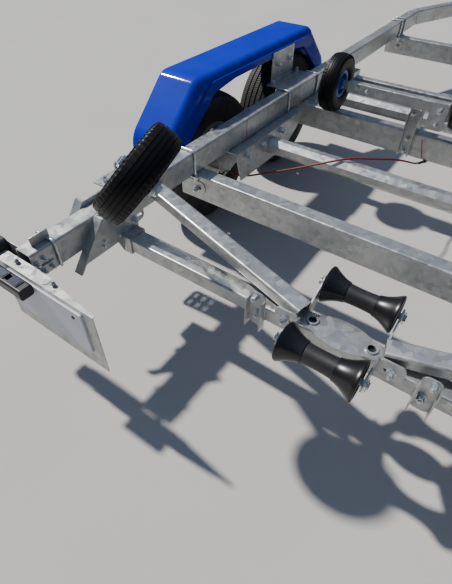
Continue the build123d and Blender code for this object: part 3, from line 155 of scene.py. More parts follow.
def galvanised(name, dark, light, patch, metallic, spangle=48.0):
    """Hot-dip zinc: crystals of slightly different greys, cloudy patches and a dull, uneven gloss."""
    material, tree, shader, where = start_material(name, Metallic=metallic)
    cells = add_node(tree, "ShaderNodeTexVoronoi", Scale=spangle)
    tree.links.new(where, cells.inputs["Vector"])
    grey = tree.nodes.new("ShaderNodeSeparateColor")
    tree.links.new(cells.outputs["Color"], grey.inputs["Color"])
    crystals = ramp(tree, grey.outputs[0], ((0.0, dark), (1.0, light)))
    clouds = noise(tree, where, scale=5.0, detail=7.0, roughness=0.68)
    cloud_share = ramp(tree, clouds, ((0.40, NONE), (0.70, MOST)))
    tree.links.new(mix_colours(tree, cloud_share, crystals, patch), shader.inputs["Base Color"])
    tree.links.new(span(tree, grey.outputs[1], 0.30, 0.50), shader.inputs["Roughness"])
    bump(tree, shader, noise(tree, where, scale=420.0, detail=3.0), strength=0.12, distance=0.0006)
    return material


def rubber(name, colour, dusty, roughness, grain=900.0, dust=(0.46, 0.72), gleam=0.5):
    """Black rubber with a little pale dust in patches and a fine grain."""
    material, tree, shader, where = start_material(name, Specular_IOR_Level=gleam)
    clouds = noise(tree, where, scale=11.0, detail=7.0, roughness=0.65)
    patches = ramp(tree, clouds, ((dust[0], NONE), (dust[1], MOST)))
    tree.links.new(mix_colours(tree, patches, colour, dusty), shader.inputs["Base Color"])
    tree.links.new(span(tree, patches, roughness, min(1.0, roughness + 0.2)), shader.inputs["Roughness"])
    bump(tree, shader, noise(tree, where, grain, detail=2.0), strength=0.18, distance=0.0005)
    return material


def gloss_plastic(name, deep, bright, roughness, coat=0.25, gleam=0.4):
    """Moulded plastic: nearly even colour, a clear gloss and faint scuffs."""
    material, tree, shader, where = start_material(
        name, Coat_Weight=coat, Coat_Roughness=0.06, Specular_IOR_Level=gleam
    )
    tone = ramp(tree, noise(tree, where, scale=5.0, detail=5.0), ((0.35, deep), (0.7, bright)))
    tree.links.new(tone, shader.inputs["Base Color"])
    scuffs = noise(tree, where, scale=60.0, detail=8.0, roughness=0.7)
    tree.links.new(span(tree, scuffs, roughness, roughness + 0.2), shader.inputs["Roughness"])
    bump(tree, shader, noise(tree, where, scale=300.0, detail=2.0), strength=0.05, distance=0.0004)
    return material


def bright_zinc(name):
    """Electroplated fasteners: bluish, fairly bright, slightly worn."""
    material, tree, shader, where = start_material(name, Metallic=0.9)
    wear = noise(tree, where, scale=90.0, detail=6.0)
    tone = ramp(tree, wear, ((0.3, (0.42, 0.45, 0.47)), (0.7, (0.80, 0.82, 0.83))))
    tree.links.new(tone, shader.inputs["Base Color"])
    tree.links.new(span(tree, noise(tree, where, scale=240.0), 0.22, 0.45), shader.inputs["Roughness"])
    bump(tree, shader, noise(tree, where, scale=700.0), strength=0.1, distance=0.0003)
    return material


STEEL = galvanised("galvanised_steel", (0.33, 0.34, 0.335), (0.47, 0.48, 0.475), (0.56, 0.575, 0.57), 0.80)
WHEEL_STEEL = galvanised(
    "wheel_steel", (0.30, 0.31, 0.31), (0.42, 0.43, 0.43), (0.50, 0.51, 0.51), 0.75, spangle=70.0
)
ZINC = bright_zinc("bright_zinc")
ROAD_RUBBER = rubber("road_tyre_rubber", (0.018, 0.018, 0.018), (0.085, 0.078, 0.068), 0.66)
SIDE_RUBBER = rubber(
    "side_tyre_rubber", (0.003, 0.003, 0.0035), (0.013, 0.012, 0.011), 0.44, dust=(0.55, 0.85), gleam=0.2
)
SLEEVE_RUBBER = rubber(
    "roller_sleeve_rubber", (0.013, 0.013, 0.014), (0.045, 0.042, 0.038), 0.42, dust=(0.5, 0.8)
)
ROLLER_RUBBER = rubber("roller_rubber", (0.005, 0.005, 0.006), (0.022, 0.021, 0.020), 0.30, dust=(0.55, 0.9))
GUARD_BLUE = gloss_plastic(
    "guard_blue", (0.001, 0.015, 0.36), (0.002, 0.021, 0.42), 0.45, coat=0.30, gleam=0.05
)
RIM_BLUE = gloss_plastic("rim_blue", (0.003, 0.075, 0.44), (0.006, 0.11, 0.56), 0.3)
BLACK_PLASTIC = gloss_plastic("black_plastic", (0.006, 0.006, 0.007), (0.014, 0.014, 0.016), 0.35)
PLATE_WHITE = gloss_plastic("plate_white", (0.56, 0.56, 0.62), (0.64, 0.64, 0.70), 0.4)
LENS_GREY = gloss_plastic("lens_grey", (0.045, 0.050, 0.065), (0.075, 0.085, 0.11), 0.15)
CABLE_RED = gloss_plastic("cable_red", (0.11, 0.004, 0.005), (0.20, 0.010, 0.012), 0.4)
MARKER_RED = gloss_plastic("marker_red", (0.30, 0.03, 0.03), (0.42, 0.05, 0.05), 0.6)
LENS_RED = gloss_plastic("lens_red", (0.42, 0.010, 0.012), (0.55, 0.020, 0.022), 0.12)
LENS_AMBER = gloss_plastic("lens_amber", (0.75, 0.20, 0.010), (0.85, 0.28, 0.020), 0.12)
LENS_CLEAR = gloss_plastic("lens_clear", (0.62, 0.64, 0.66), (0.72, 0.74, 0.76), 0.10)
WEBBING = rubber("winch_webbing", (0.020, 0.030, 0.055), (0.06, 0.07, 0.09), 0.75, grain=1400.0)

# The material of each CAD node, by its name or the name's start; the rest is galvanised steel
NODE_FINISH = (
    ("mudguards", GUARD_BLUE),
    ("number_plate", PLATE_WHITE),
    ("rear_lamps", BLACK_PLASTIC),
    ("bellows", ROLLER_RUBBER),
    ("bow_stop", ROLLER_RUBBER),
    ("brake_cables", CABLE_RED),
    ("jockey_wheel", SIDE_RUBBER),
    ("tyre_", ROAD_RUBBER),
    ("side_tyre_", SIDE_RUBBER),
    ("side_rim_", RIM_BLUE),
    ("wheel_", WHEEL_STEEL),
    ("keel_roller_", ROLLER_RUBBER),
    ("arm_roller_", ROLLER_RUBBER),
)


def finish_of(name):
    """The material of a CAD node."""
    return next((material for start, material in NODE_FINISH if name.startswith(start)), STEEL)


for name, node in frame["nodes"].items():
    node.data.materials.clear()
    node.data.materials.append(finish_of(name))


# Mesh tools


def link_mesh(name, shape, material):
    """A bmesh as an object of the scene, with its material."""
    mesh = bpy.data.meshes.new(name)
    shape.to_mesh(mesh)
    shape.free()
    mesh.materials.append(material)
    piece = bpy.data.objects.new(name, mesh)
    bpy.context.scene.collection.objects.link(piece)
    return piece


def finish_shape(name, shape, material, body=CHASSIS, smooth_angle=35.0):
    """The finished piece: faces outward, smooth where they meet at a small angle, on its body."""
    bmesh.ops.recalc_face_normals(shape, faces=shape.faces)
    piece = link_mesh(name, shape, material)
    piece.data.shade_smooth()
    piece.data.set_sharp_from_angle(angle=math.radians(smooth_angle))
    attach(piece, body)
    return piece


def turns(count):
    """The angles of evenly spaced points round a circle."""
    return [2 * math.pi * step / count for step in range(count)]


def round_point(radius, angle, along=0.0):
    """A point at a distance from Z, an angle round it and a height on it."""
    return Vector((radius * math.cos(angle), radius * math.sin(angle), along))


def place_along(centre, direction):
    """A place at a centre with its Z along a direction."""
    return Matrix.Translation(centre) @ Vector(direction).to_track_quat("Z", "Y").to_matrix().to_4x4()


def add_band(shape, low, high):
    """Faces between two closed loops of as many points each."""
    for index in range(len(low)):
        after = (index + 1) % len(low)
        shape.faces.new((low[index], low[after], high[after], high[index]))


def add_skin(shape, rings):
    """Faces from ring to ring, and a cap on the first and the last."""
    for low, high in zip(rings, rings[1:]):
        add_band(shape, low, high)
    shape.faces.new(rings[0][::-1])
    shape.faces.new(rings[-1])


def add_turned(shape, centre, axis, profile, sides=24):
    """A turned form: rings of (radius, distance along the axis) round a centre."""
    place = place_along(centre, axis)
    add_skin(shape, [
        [shape.verts.new(place @ round_point(radius, angle, along)) for angle in turns(sides)]
        for radius, along in profile
    ])


def add_bolt(shape, seat, axis, flats=0.019, stud=0.0, nut=False):
    """A washer with a chamfered six-sided head or nut on a seat, and a stud's end through a nut."""
    corner = flats / 2 / math.cos(math.pi / 6)
    washer = 0.0025
    height = flats * (0.85 if nut else 0.65)
    add_turned(shape, seat, axis, ((corner * 1.25, 0.0), (corner * 1.25, washer)), 20)
    add_turned(shape, seat, axis, (
        (corner, washer),
        (corner, washer + height * 0.86),
        (corner * 0.88, washer + height),
    ), 6)
    if stud:
        radius = flats * 0.32
        top = washer + height + stud
        add_turned(shape, seat, axis, ((radius, washer), (radius, top - 0.001), (radius * 0.8, top)), 12)


def add_tube_path(shape, points, radius, sides=10):
    """A round bar through points, with mitred corners."""
    points = [Vector(point) for point in points]
    rings = []
    for index, point in enumerate(points):
        before = points[max(index - 1, 0)]
        after = points[min(index + 1, len(points) - 1)]
        place = place_along(point, (after - before).normalized())
        rings.append([shape.verts.new(place @ round_point(radius, angle)) for angle in turns(sides)])
    for low, high in zip(rings, rings[1:]):
        nearest = min(range(sides), key=lambda index: (high[index].co - low[0].co).length)
        add_band(shape, low, high[nearest:] + high[:nearest])
    shape.faces.new(rings[0][::-1])
    shape.faces.new(rings[-1])


def rounded_outline(corners, radius, steps=4):
    """A flat outline with each corner turned into an arc."""
    corners = [Vector(corner) for corner in corners]
    outline = []
    for index, corner in enumerate(corners):
        before = (corners[index - 1] - corner).normalized()
        after = (corners[(index + 1) % len(corners)] - corner).normalized()
        half = before.angle(after) / 2
        reach = radius / math.tan(half)
        centre = corner + (before + after).normalized() * (radius / math.sin(half))
        start = corner + before * reach - centre
        end = corner + after * reach - centre
        sweep = math.copysign(math.pi - 2 * half, start.x * end.y - start.y * end.x)
        for step in range(steps + 1):
            angle = sweep * step / steps
            outline.append(centre + Vector((
                start.x * math.cos(angle) - start.y * math.sin(angle),
                start.x * math.sin(angle) + start.y * math.cos(angle),
            )))
    return outline


def rounded_box(width, height, radius):
    """An upright rounded rectangle round the origin."""
    across, up = width / 2, height / 2
    return rounded_outline(((-across, -up), (across, -up), (across, up), (-across, up)), radius)


def slot_outline(centre, length, width, steps=6):
    """A level oblong with round ends."""
    run = (length - width) / 2
    outline = []
    for end in (1, -1):
        for step in range(steps + 1):
            angle = math.pi * step / steps - math.pi / 2
            outline.append(Vector((
                centre[0] + end * (run + width / 2 * math.cos(angle)),
                centre[1] + end * width / 2 * math.sin(angle),
            )))
    return outline


def add_plate(shape, place, outline, thickness, holes=()):
    """A flat sheet with holes, drawn in a place's first two axes and thick along its third."""
    loops = [list(outline)] + [list(hole) for hole in holes]
    rims = []
    for level in (0.0, thickness):
        rim = [
            [shape.verts.new(place @ Vector((point[0], point[1], level))) for point in loop]
            for loop in loops
        ]
        edges = [
            shape.edges.new((loop[index], loop[(index + 1) % len(loop)]))
            for loop in rim
            for index in range(len(loop))
        ]
        bmesh.ops.triangle_fill(shape, use_beauty=True, edges=edges)
        rims.append(rim)
    for low, high in zip(*rims):
        add_band(shape, low, high)


def facing(origin, first, second):
    """A place whose first two axes are given directions, as for add_plate."""
    first, second = Vector(first), Vector(second)
    matrix = Matrix((first, second, first.cross(second))).transposed().to_4x4()
    return Matrix.Translation(origin) @ matrix


DIRECTIONS = {
    "in": (-1, 0, 0),
    "out": (1, 0, 0),
    "back": (0, -1, 0),
    "front": (0, 1, 0),
    "up": (0, 0, 1),
    "down": (0, 0, -1),
}


def toward(name, sign):
    """A named direction on one side of the trailer; in and out are seen from its centre line."""
    x, y, z = DIRECTIONS[name]
    return Vector((sign * x, y, z))


# Tyres and rollers


def as_is(step, index, radius, along):
    """A turned point left where its profile has it."""
    return radius, along


def ring_piece(
    name, node, body, materials, profile, angles, smooth_angle, sink=as_is, slant=0.0, paint=None
):
    """A closed profile of (radius, along) turned round a body's axle, which takes a node's place.

    sink moves points of it, slant turns them with their distance from the middle, and paint gives the place
    in materials of a face between two points of the profile.
    """
    low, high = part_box(node)
    place = place_along((low + high) / 2, joint_axes[body])
    shape = bmesh.new()
    rings = []
    for step, angle in enumerate(angles):
        ring = []
        for index, (radius, along) in enumerate(profile):
            radius, along = sink(step, index, radius, along)
            ring.append(shape.verts.new(place @ round_point(radius, angle + slant * abs(along), along)))
        rings.append(ring)
    for step, ring in enumerate(rings):
        after = rings[(step + 1) % len(rings)]
        for index in range(len(profile)):
            following = (index + 1) % len(profile)
            face = shape.faces.new((ring[index], after[index], after[following], ring[following]))
            if paint:
                face.material_index = paint(profile[index], profile[following])
    piece = finish_shape(name, shape, materials[0], body, smooth_angle)
    for material in materials[1:]:
        piece.data.materials.append(material)
    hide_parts(node)


def mirrored(half, middle=()):
    """A whole profile from the half on one side of the wheel's middle."""
    return half + list(middle) + [(radius, -along) for radius, along in half[::-1]]


# The side wall's points, as shares of the way from seat to crown and of half the tyre's width
SIDE_WALL = (
    (0.10, 0.76),
    (0.20, 0.87),
    (0.34, 0.965),
    (0.46, 1.0),
    (0.60, 0.995),
    (0.72, 0.965),
    (0.74, 0.975),
    (0.77, 0.975),
    (0.79, 0.95),
    (0.90, 0.88),
)
# The side wall's last point in a tyre's profile, which starts with two points of the bead
SHOULDER_ROW = len(SIDE_WALL) + 1


def tyre_profile(outer, width, tread, seat, bead_half, drop, groove_depth, groove_half, grooves):
    """A tyre's section: bead, side wall with a fine rib, shoulder, and grooves across the crown."""
    depth = outer - seat
    half = [(seat, bead_half), (seat + 0.04 * depth, bead_half * 1.03)]
    half += [(seat + depth * rise, width / 2 * share) for rise, share in SIDE_WALL]
    half.append((outer - drop, tread / 2))
    crown = []
    for middle in grooves:
        for shift, cut in ((-1.0, 0.0), (-0.7, groove_depth), (0.7, groove_depth), (1.0, 0.0)):
            along = middle + shift * groove_half
            crown.append((outer - drop * (2 * along / tread) ** 2 - cut, along))
    return [(radius, -along) for radius, along in half] + crown + half[::-1]


def road_tyre(name, node, body):
    """A road tyre: four grooves, cut blocks on both shoulders and sipes in the ribs between."""
    low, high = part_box(node)
    outer = (high.z - low.z) / 2
    width = high.x - low.x
    tread = width * 0.81
    profile = tyre_profile(
        outer, width, tread, seat=0.178, bead_half=0.062, drop=outer * 0.032, groove_depth=0.008,
        groove_half=0.0042, grooves=[tread * share for share in (-0.30, -0.10, 0.10, 0.30)],
    )
    last = len(profile) - 1
    crown_row = SHOULDER_ROW + 1
    shoulder = (SHOULDER_ROW, crown_row, last - crown_row, last - SHOULDER_ROW)
    pitches = 84
    offsets = (0.0, 0.14, 0.22, 0.30, 0.62, 0.70, 0.78)
    wide_cut, fine_cut = 2, 5
    shoulder_depth, wide_depth, fine_depth = 0.007, 0.0050, 0.0030
    angles = [2 * math.pi * (pitch + offset) / pitches for pitch in range(pitches) for offset in offsets]

    def sink(step, index, radius, along):
        cut = step % len(offsets)
        if cut == wide_cut and index in shoulder:
            return radius - shoulder_depth, along
        if cut in (wide_cut, fine_cut) and crown_row <= index <= last - crown_row:
            return radius - (wide_depth if cut == wide_cut else fine_depth), along
        return radius, along

    ring_piece(name, node, body, [ROAD_RUBBER], profile, angles, 28.0, sink, slant=1.6)


def side_wheel_tyre(name, node, body):
    """A side wheel's tyre: smooth ribs in the middle and a rope of slanting lugs on both shoulders."""
    outer, width = 0.1368, 0.085
    tread = width * 0.80
    profile = tyre_profile(
        outer, width, tread, seat=0.057, bead_half=0.0255, drop=0.0055, groove_depth=0.0032,
        groove_half=0.0016, grooves=[tread * share for share in (-0.27, -0.09, 0.09, 0.27)],
    )
    last = len(profile) - 1
    lugs, lug_steps, lug_slant = 54, 6, 0.17
    # How deep the gaps are at each row of the profile, counted from either bead
    lug_depths = {9: 0.0018, 10: 0.0042, 11: 0.0044, 12: 0.0010}
    first_row = min(lug_depths)

    def sink(step, index, radius, along):
        row = min(index, last - index)
        if row in lug_depths:
            wave = math.sin(2 * math.pi * (step / lug_steps - (row - first_row) * lug_slant))
            return radius + lug_depths[row] * 0.8 * (wave - 1), along
        return radius, along

    ring_piece(name, node, body, [SIDE_RUBBER], profile, turns(lugs * lug_steps), 28.0, sink)


for row in ROWS:
    for side, _ in SIDES:
        road_tyre(f"road_tread_{row}_{side}", f"tyre_{row}_{side}", f"road_wheel_{row}_{side}")
        side_wheel_tyre(f"side_tread_{row}_{side}", f"side_tyre_{row}_{side}", f"side_wheel_{row}_{side}")


def keel_roller(name, node, body):
    """A waisted rubber roller: bells with rounded rims, and a thinner matt sleeve with a step at each end."""
    low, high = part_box(node)
    half = (high.x - low.x) / 2
    rim = (high.z - low.z) / 2
    waist, sleeve_half, bore = 0.031, half * 0.40, 0.0105
    neck, crown, lip = waist + 0.0035, rim - 0.0008, 0.009
    bell_steps = 14
    profile = [
        (bore, -half + 0.010),
        (rim * 0.40, -half + 0.006),
        (rim * 0.80, -half + 0.0045),
        (rim - 0.006, -half),
        (rim - 0.002, -half + 0.0012),
        (rim - 0.0002, -half + 0.004),
        (rim - 0.0006, -half + 0.008),
    ]
    for step in range(1, bell_steps + 1):
        share = step / bell_steps
        along = -half + lip + (half - lip - sleeve_half) * share
        profile.append((neck + (crown - neck) * (1 - share) ** 1.55, along))
    profile.append((waist + 0.0005, -sleeve_half + 0.0012))
    profile.append((waist - 0.0010, -sleeve_half * 0.5))

    def paint(point, following):
        in_bore = point[0] == following[0] == bore
        return int(abs((point[1] + following[1]) / 2) < sleeve_half and not in_bore)

    ring_piece(
        name, node, body, [ROLLER_RUBBER, SLEEVE_RUBBER],
        mirrored(profile, [(waist - 0.0014, 0.0)]), turns(72), 32.0, paint=paint,
    )


for name in ("rear", "front", "bow"):
    keel_roller(f"waisted_roller_{name}", f"keel_roller_{name}", f"roller_{name}")


def jockey_wheel(name, node, body):
    """The jockey wheel: rubber ring on a steel disc with a hub."""
    low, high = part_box(node)
    outer = (high.z - low.z) / 2 - 0.0002
    half = (high.x - low.x) / 2
    rubber_seat = 0.083
    profile = [
        (0.0085, -half),
        (0.019, -half),
        (0.020, -half + 0.001),
        (0.020, -0.012),
        (0.026, -0.006),
        (0.068, -0.006),
        (0.074, -half + 0.013),
        (0.082, -half + 0.012),
        (0.084, -half + 0.004),
        (0.088, -half + 0.0015),
        (outer - 0.014, -half),
        (outer - 0.008, -half + 0.003),
        (outer - 0.002, -half * 0.55),
        (outer, -half * 0.2),
    ]
    ring_piece(
        name, node, body, [SIDE_RUBBER, WHEEL_STEEL], mirrored(profile), turns(72), 32.0,
        paint=lambda point, following: int((point[0] + following[0]) / 2 < rubber_seat),
    )


jockey_wheel("jockey_wheel_ring", "jockey_wheel", "jockey_roller")


# Fasteners

# Bolts by their width across flats
M6, M8, M10, M12, M16 = 0.010, 0.013, 0.017, 0.019, 0.024
BOTH, LEFT = (-1, 1), (-1,)
lamp_bracket_face_x = rail_outer_x + 0.004
hook_face_x = rail_inner_x - 0.006
tube_rear_s, tube_front_s = 0.356, 0.426
post_face_s = 1.742
arm_face_s = 1.717
stay_top = rail_top + 0.006
CARRIER_BOLTS = [(distance, 0.452) for distance in (1.120, 1.250, 1.440, 1.890, 2.020, 2.210)]

FASTENERS = (
    # sides, distance from the centre line, direction, across flats, stud beyond the nut,
    # places as (station, height)
    # lamp brackets and the board's hook at the rails' rear ends
    (BOTH, lamp_bracket_face_x, "out", M8, 0.004, ((0.068, 0.506), (0.068, 0.550))),
    (LEFT, hook_face_x, "in", M8, 0.005, ((0.026, 0.505), (0.056, 0.505))),
    (LEFT, rail_inner_x, "in", M8, 0.006, ((0.013, 0.538),)),
    (BOTH, rail_inner_x, "in", M8, 0.006, ((0.040, 0.545),)),
    # hanger plates
    (BOTH, hanger_inner_x, "in", M6, 0.0, ((0.270, 0.464), (0.264, 0.446), (0.339, 0.449))),
    (BOTH, hanger_inner_x, "in", M12, 0.004, ((0.424, 0.472),)),
    (BOTH, hanger_outer_x, "out", M16, 0.005, ((0.278, 0.447),)),
    (BOTH, hanger_outer_x, "out", M12, 0.0, ((0.330, 0.500), (0.424, 0.472))),
    # feet of the side wheels' arms
    (BOTH, 0.880, "up", M10, 0.005, ((0.353, stay_top), (0.429, stay_top))),
    (BOTH, 0.926, "up", M10, 0.005, ((0.353, stay_top), (0.429, stay_top))),
    # slotted plates
    (BOTH, 0.974, "up", M10, 0.004, ((0.412, 0.597), (0.470, 0.597))),
    (BOTH, 1.011, "out", M10, 0.006, ((0.527, 0.530), (0.575, 0.575))),
    (BOTH, 1.005, "in", M10, 0.0, ((0.527, 0.530), (0.575, 0.575))),
    # channels on the roller tube and on the middle crossmember
    (BOTH, 0.276, "back", M12, 0.006, ((0.352, 0.466),)),
    (BOTH, 0.262, "back", M12, 0.006, ((0.352, 0.402),)),
    (BOTH, 0.268, "back", M12, 0.006, ((post_face_s, 0.569),)),
    (BOTH, 0.262, "back", M12, 0.006, ((post_face_s, 0.447), (post_face_s, 0.385))),
    # cross arms
    (BOTH, 0.509, "back", M10, 0.005, ((arm_face_s, 0.626),)),
    (BOTH, 0.560, "back", M8, 0.003, ((arm_face_s, 0.629),)),
    (BOTH, 0.152, "back", M16, 0.008, ((1.711, 0.620),)),
    (BOTH, 0.152, "back", M10, 0.005, ((1.711, 0.556),)),
    # guard stays
    (BOTH, 1.004, "in", M10, 0.004, ((1.690, 0.664), (1.810, 0.664))),
    (BOTH, 0.984, "up", M10, 0.004, ((1.622, stay_top), (1.878, stay_top))),
    (BOTH, 0.944, "out", M8, 0.003, ((0.866, 0.540), (2.264, 0.540))),
    (BOTH, 1.012, "in", M8, 0.003, ((0.866, 0.477), (2.264, 0.477))),
    # axle carriers
    (BOTH, 0.938, "out", M16, 0.0, CARRIER_BOLTS),
    (BOTH, 0.815, "in", M16, 0.006, CARRIER_BOLTS),
    # lug plates on the crossmembers' rear faces
    (BOTH, 0.859, "back", M12, 0.008, ((0.800, 0.414), (3.293, 0.414))),
    # bow roller bracket, coupling plate and winch
    (BOTH, 0.160, "up", M12, 0.006, ((3.330, 0.483),)),
    (BOTH, 0.104, "down", M16, 0.006, ((5.605, 0.470), (5.765, 0.470))),
    (BOTH, 0.022, "back", M10, 0.0, ((5.089, 0.925), (5.089, 1.030))),
)

fasteners = bmesh.new()
for sides, x, direction, flats, stud, places in FASTENERS:
    for distance, z in places:
        for sign in sides:
            add_bolt(fasteners, spot(sign * x, distance, z), toward(direction, sign), flats, stud, nut=stud > 0)
finish_shape("fasteners", fasteners, ZINC)


# Clamps round the rails: a bent rod over the top, nuts under a bridge plate

RAIL_CLAMPS = (
    # station, rod's stand-off outboard of the rail, whether it goes on down to nuts under a bridge plate
    (0.088, 0.004, False),
    (0.797, 0.0, True),
    (1.590, 0.0, False),
    (1.910, 0.0, False),
    (3.290, 0.0, True),
    (3.370, 0.0, True),
)
clamp_rod = 0.0055
clamp_foot = 0.008
clamp_thread = 0.022
clamp_end_gap = 0.004
clamp_bridge = rounded_box(0.120, 0.032, 0.008)


def bent_rod(near_x, far_x, low_z, high_z, y, corner=0.011, steps=5):
    """The points of a U-shaped rod, open below."""
    points = [Vector((near_x, y, low_z))]
    for middle_x, first in ((near_x + corner, math.pi), (far_x - corner, math.pi / 2)):
        for step in range(steps + 1):
            angle = first - math.pi / 2 * step / steps
            rise = corner * (math.sin(angle) - 1)
            points.append(Vector((middle_x + corner * math.cos(angle), y, high_z + rise)))
    points.append(Vector((far_x, y, low_z)))
    return points


rods = bmesh.new()
for distance, stand_off, bridged in RAIL_CLAMPS:
    for sign in BOTH:
        near = rail_inner_x - clamp_rod
        far = rail_outer_x + clamp_rod + stand_off
        foot_z = rail_bottom - clamp_foot
        low_z = foot_z - clamp_thread if bridged else rail_bottom + clamp_end_gap
        path = bent_rod(near, far, low_z, rail_top + clamp_rod, station(distance))
        add_tube_path(rods, [Vector((sign * point.x, point.y, point.z)) for point in path], clamp_rod, 12)
        if bridged:
            middle = spot(sign * rail_centre_x, distance, foot_z)
            add_plate(rods, Matrix.Translation(middle), clamp_bridge, clamp_foot - 0.001)
            for x in (near, far):
                add_bolt(rods, spot(sign * x, distance, foot_z), toward("down", sign), M10, 0.003, nut=True)
finish_shape("rail_clamps", rods, ZINC)


# Small plates: roller bracket feet, crossmember lugs, clamp plates on the cross arms, angles on the rails

SHEETS = (
    # centre from the centre line, station of the face, height, facing, width, height of the sheet,
    # corner radius, thickness, holes as (across, up, length, width)
    (0.165, tube_rear_s - 0.0005, 0.437, "back", 0.078, 0.072, 0.016, 0.0065, ((0.0, 0.0, 0.040, 0.013),)),
    (0.165, tube_front_s + 0.0005, 0.437, "front", 0.078, 0.072, 0.016, 0.0065, ((0.0, 0.0, 0.040, 0.013),)),
    (0.8735, 0.804, 0.4195, "back", 0.109, 0.061, 0.020, 0.004, ((-0.028, 0.0, 0.018, 0.012),)),
    (0.8735, 3.297, 0.4195, "back", 0.109, 0.061, 0.020, 0.004, ((-0.028, 0.0, 0.018, 0.012),)),
    (0.158, arm_face_s, 0.589, "back", 0.078, 0.124, 0.012, 0.006, ()),
    (0.158, 1.837, 0.589, "front", 0.078, 0.124, 0.012, 0.006, ()),
)
angle_length, angle_height, angle_sheet = 0.067, 0.034, 0.004
angle_outline = rounded_outline(
    ((0.0, 0.0), (angle_length, 0.0), (angle_length, angle_height), (0.0, angle_height)), 0.004
)

sheets = bmesh.new()
for x, distance, z, direction, width, height, corner, thickness, holes in SHEETS:
    for sign in BOTH:
        across = 1 if direction == "back" else -1
        cuts = [slot_outline((across * sign * u, v), length, wide) for u, v, length, wide in holes]
        place = facing(spot(sign * x, distance, z), (across, 0, 0), (0, 0, 1))
        add_plate(sheets, place, rounded_box(width, height, corner), thickness, cuts)
for sign in BOTH:
    place = facing(spot(sign * 0.900, 0.031, rail_top), (0, 1, 0), (0, 0, 1))
    add_plate(sheets, place, angle_outline, angle_sheet)
finish_shape("small_plates", sheets, STEEL)

foot_sheet = 0.007
feet = bmesh.new()
for sign in BOTH:
    for distance, direction in ((tube_rear_s - foot_sheet, "back"), (tube_front_s + foot_sheet, "front")):
        add_bolt(feet, spot(sign * 0.168, distance, 0.437), toward(direction, sign), M12, 0.007, nut=True)
finish_shape("foot_bolts", feet, ZINC)


# Black discs at the bottom of the saddle's collared holes: painted shade that makes the holes look dark, not a
# part of the saddle

SADDLE_BORE_SHADE_DISC = ((0.0128, 0.0002), (0.0128, 0.0060), (0.0118, 0.0062), (0.0118, 0.0012))
saddle_low, saddle_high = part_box("roller_saddle")
bore_shade_discs = bmesh.new()
for sign in BOTH:
    bore = Vector((sign * 0.094, (saddle_low.y + saddle_high.y) / 2, saddle_low.z))
    add_turned(bore_shade_discs, bore, (0, 0, 1), SADDLE_BORE_SHADE_DISC, 32)
finish_shape("saddle_bore_shade_discs", bore_shade_discs, BLACK_PLASTIC)


# Washers and split pins on the roller pins

PIN_WASHER = ((0.0105, 0.0), (0.0175, 0.0), (0.0175, 0.0022), (0.0165, 0.003), (0.0105, 0.003))
cheek_face_x = 0.126
pin_end = 0.0065
eye_radius = 0.0048
split_pins = bmesh.new()
for name in ("rear", "front", "bow"):
    low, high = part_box(f"keel_roller_{name}")
    centre = (low + high) / 2
    for sign in BOTH:
        outward = Vector((sign, 0, 0))
        seat = Vector((sign * cheek_face_x, centre.y, centre.z))
        add_turned(split_pins, seat, outward, PIN_WASHER, 28)
        hole = seat + outward * pin_end
        eye = hole + Vector((0, 0, 0.0165))
        loop = [hole + Vector((0, 0, -0.0135)), hole + Vector((0, 0, 0.0115))]
        for step in range(13):
            angle = -math.pi / 2 + 2 * math.pi * step / 12
            loop.append(eye + Vector((0, eye_radius * math.cos(angle), eye_radius * math.sin(angle))))
        add_tube_path(split_pins, loop, 0.0016, 8)
        for way in (-1, 1):
            foot = hole + Vector((0, way * 0.0014, -0.0120))
            bend = foot + Vector((0, way * 0.006, -0.003))
            tip = foot + Vector((0, way * 0.013, -0.001))
            add_tube_path(split_pins, (foot, bend, tip), 0.0012, 8)
finish_shape("split_pins", split_pins, ZINC)


# Wheel nuts, valves, rim bolts and axle nuts

# Turned pieces as ((radius, distance along the axis), ...) and their number of sides
WHEEL_NUT = (
    (((0.0145, 0.0), (0.0120, 0.005)), 24),
    (((0.0110, 0.004), (0.0110, 0.0185), (0.0095, 0.0205)), 6),
    (((0.0060, 0.010), (0.0060, 0.0245), (0.0050, 0.0255)), 16),
)
VALVE = (
    ((
        (0.0052, 0.0), (0.0048, 0.010), (0.0035, 0.014), (0.0035, 0.026),
        (0.0042, 0.027), (0.0042, 0.034), (0.0034, 0.036),
    ), 14),
)
AXLE_NUT = (
    (((0.0105, 0.0390), (0.0185, 0.0390), (0.0185, 0.0412), (0.0105, 0.0412)), 28),
    ((
        (0.0102, 0.0412), (0.0160, 0.0412), (0.0172, 0.0424),
        (0.0172, 0.0505), (0.0155, 0.0525), (0.0102, 0.0525),
    ), 6),
)
AXLE_HEAD = (
    (((0.0170, 0.0566), (0.0170, 0.0655), (0.0150, 0.0675)), 6),
    (((0.0190, 0.0565), (0.0190, 0.0590)), 28),
)
STUDS = 5
stud_circle, first_stud = 0.070, 0.2
disc_face = 0.0142
valve_circle, valve_angle, valve_lean, valve_face = 0.154, 1.0, 0.12, 0.018
rim_bolt_circle, rim_web = 0.0355, 0.005


def add_pieces(shape, centre, axis, pieces):
    """Turned pieces on one axis."""
    for profile, sides in pieces:
        add_turned(shape, centre, axis, profile, sides)


def on_disc(radius, angle):
    """A place on a wheel's disc, from its centre."""
    return Vector((0, radius * math.cos(angle), radius * math.sin(angle)))


def add_wheel_nuts(row, side, sign):
    """A road wheel's nuts on their studs, and its valve."""
    low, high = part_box(f"wheel_{row}_{side}")
    centre = (low + high) / 2
    outward = Vector((sign, 0, 0))
    nuts = bmesh.new()
    for angle in turns(STUDS):
        seat = centre + outward * disc_face + on_disc(stud_circle, angle + first_stud)
        add_pieces(nuts, seat, outward, WHEEL_NUT)
    valve = centre + outward * valve_face + on_disc(valve_circle, valve_angle)
    add_pieces(nuts, valve, outward + on_disc(valve_lean, valve_angle), VALVE)
    finish_shape(f"wheel_nuts_{row}_{side}", nuts, ZINC, f"road_wheel_{row}_{side}")


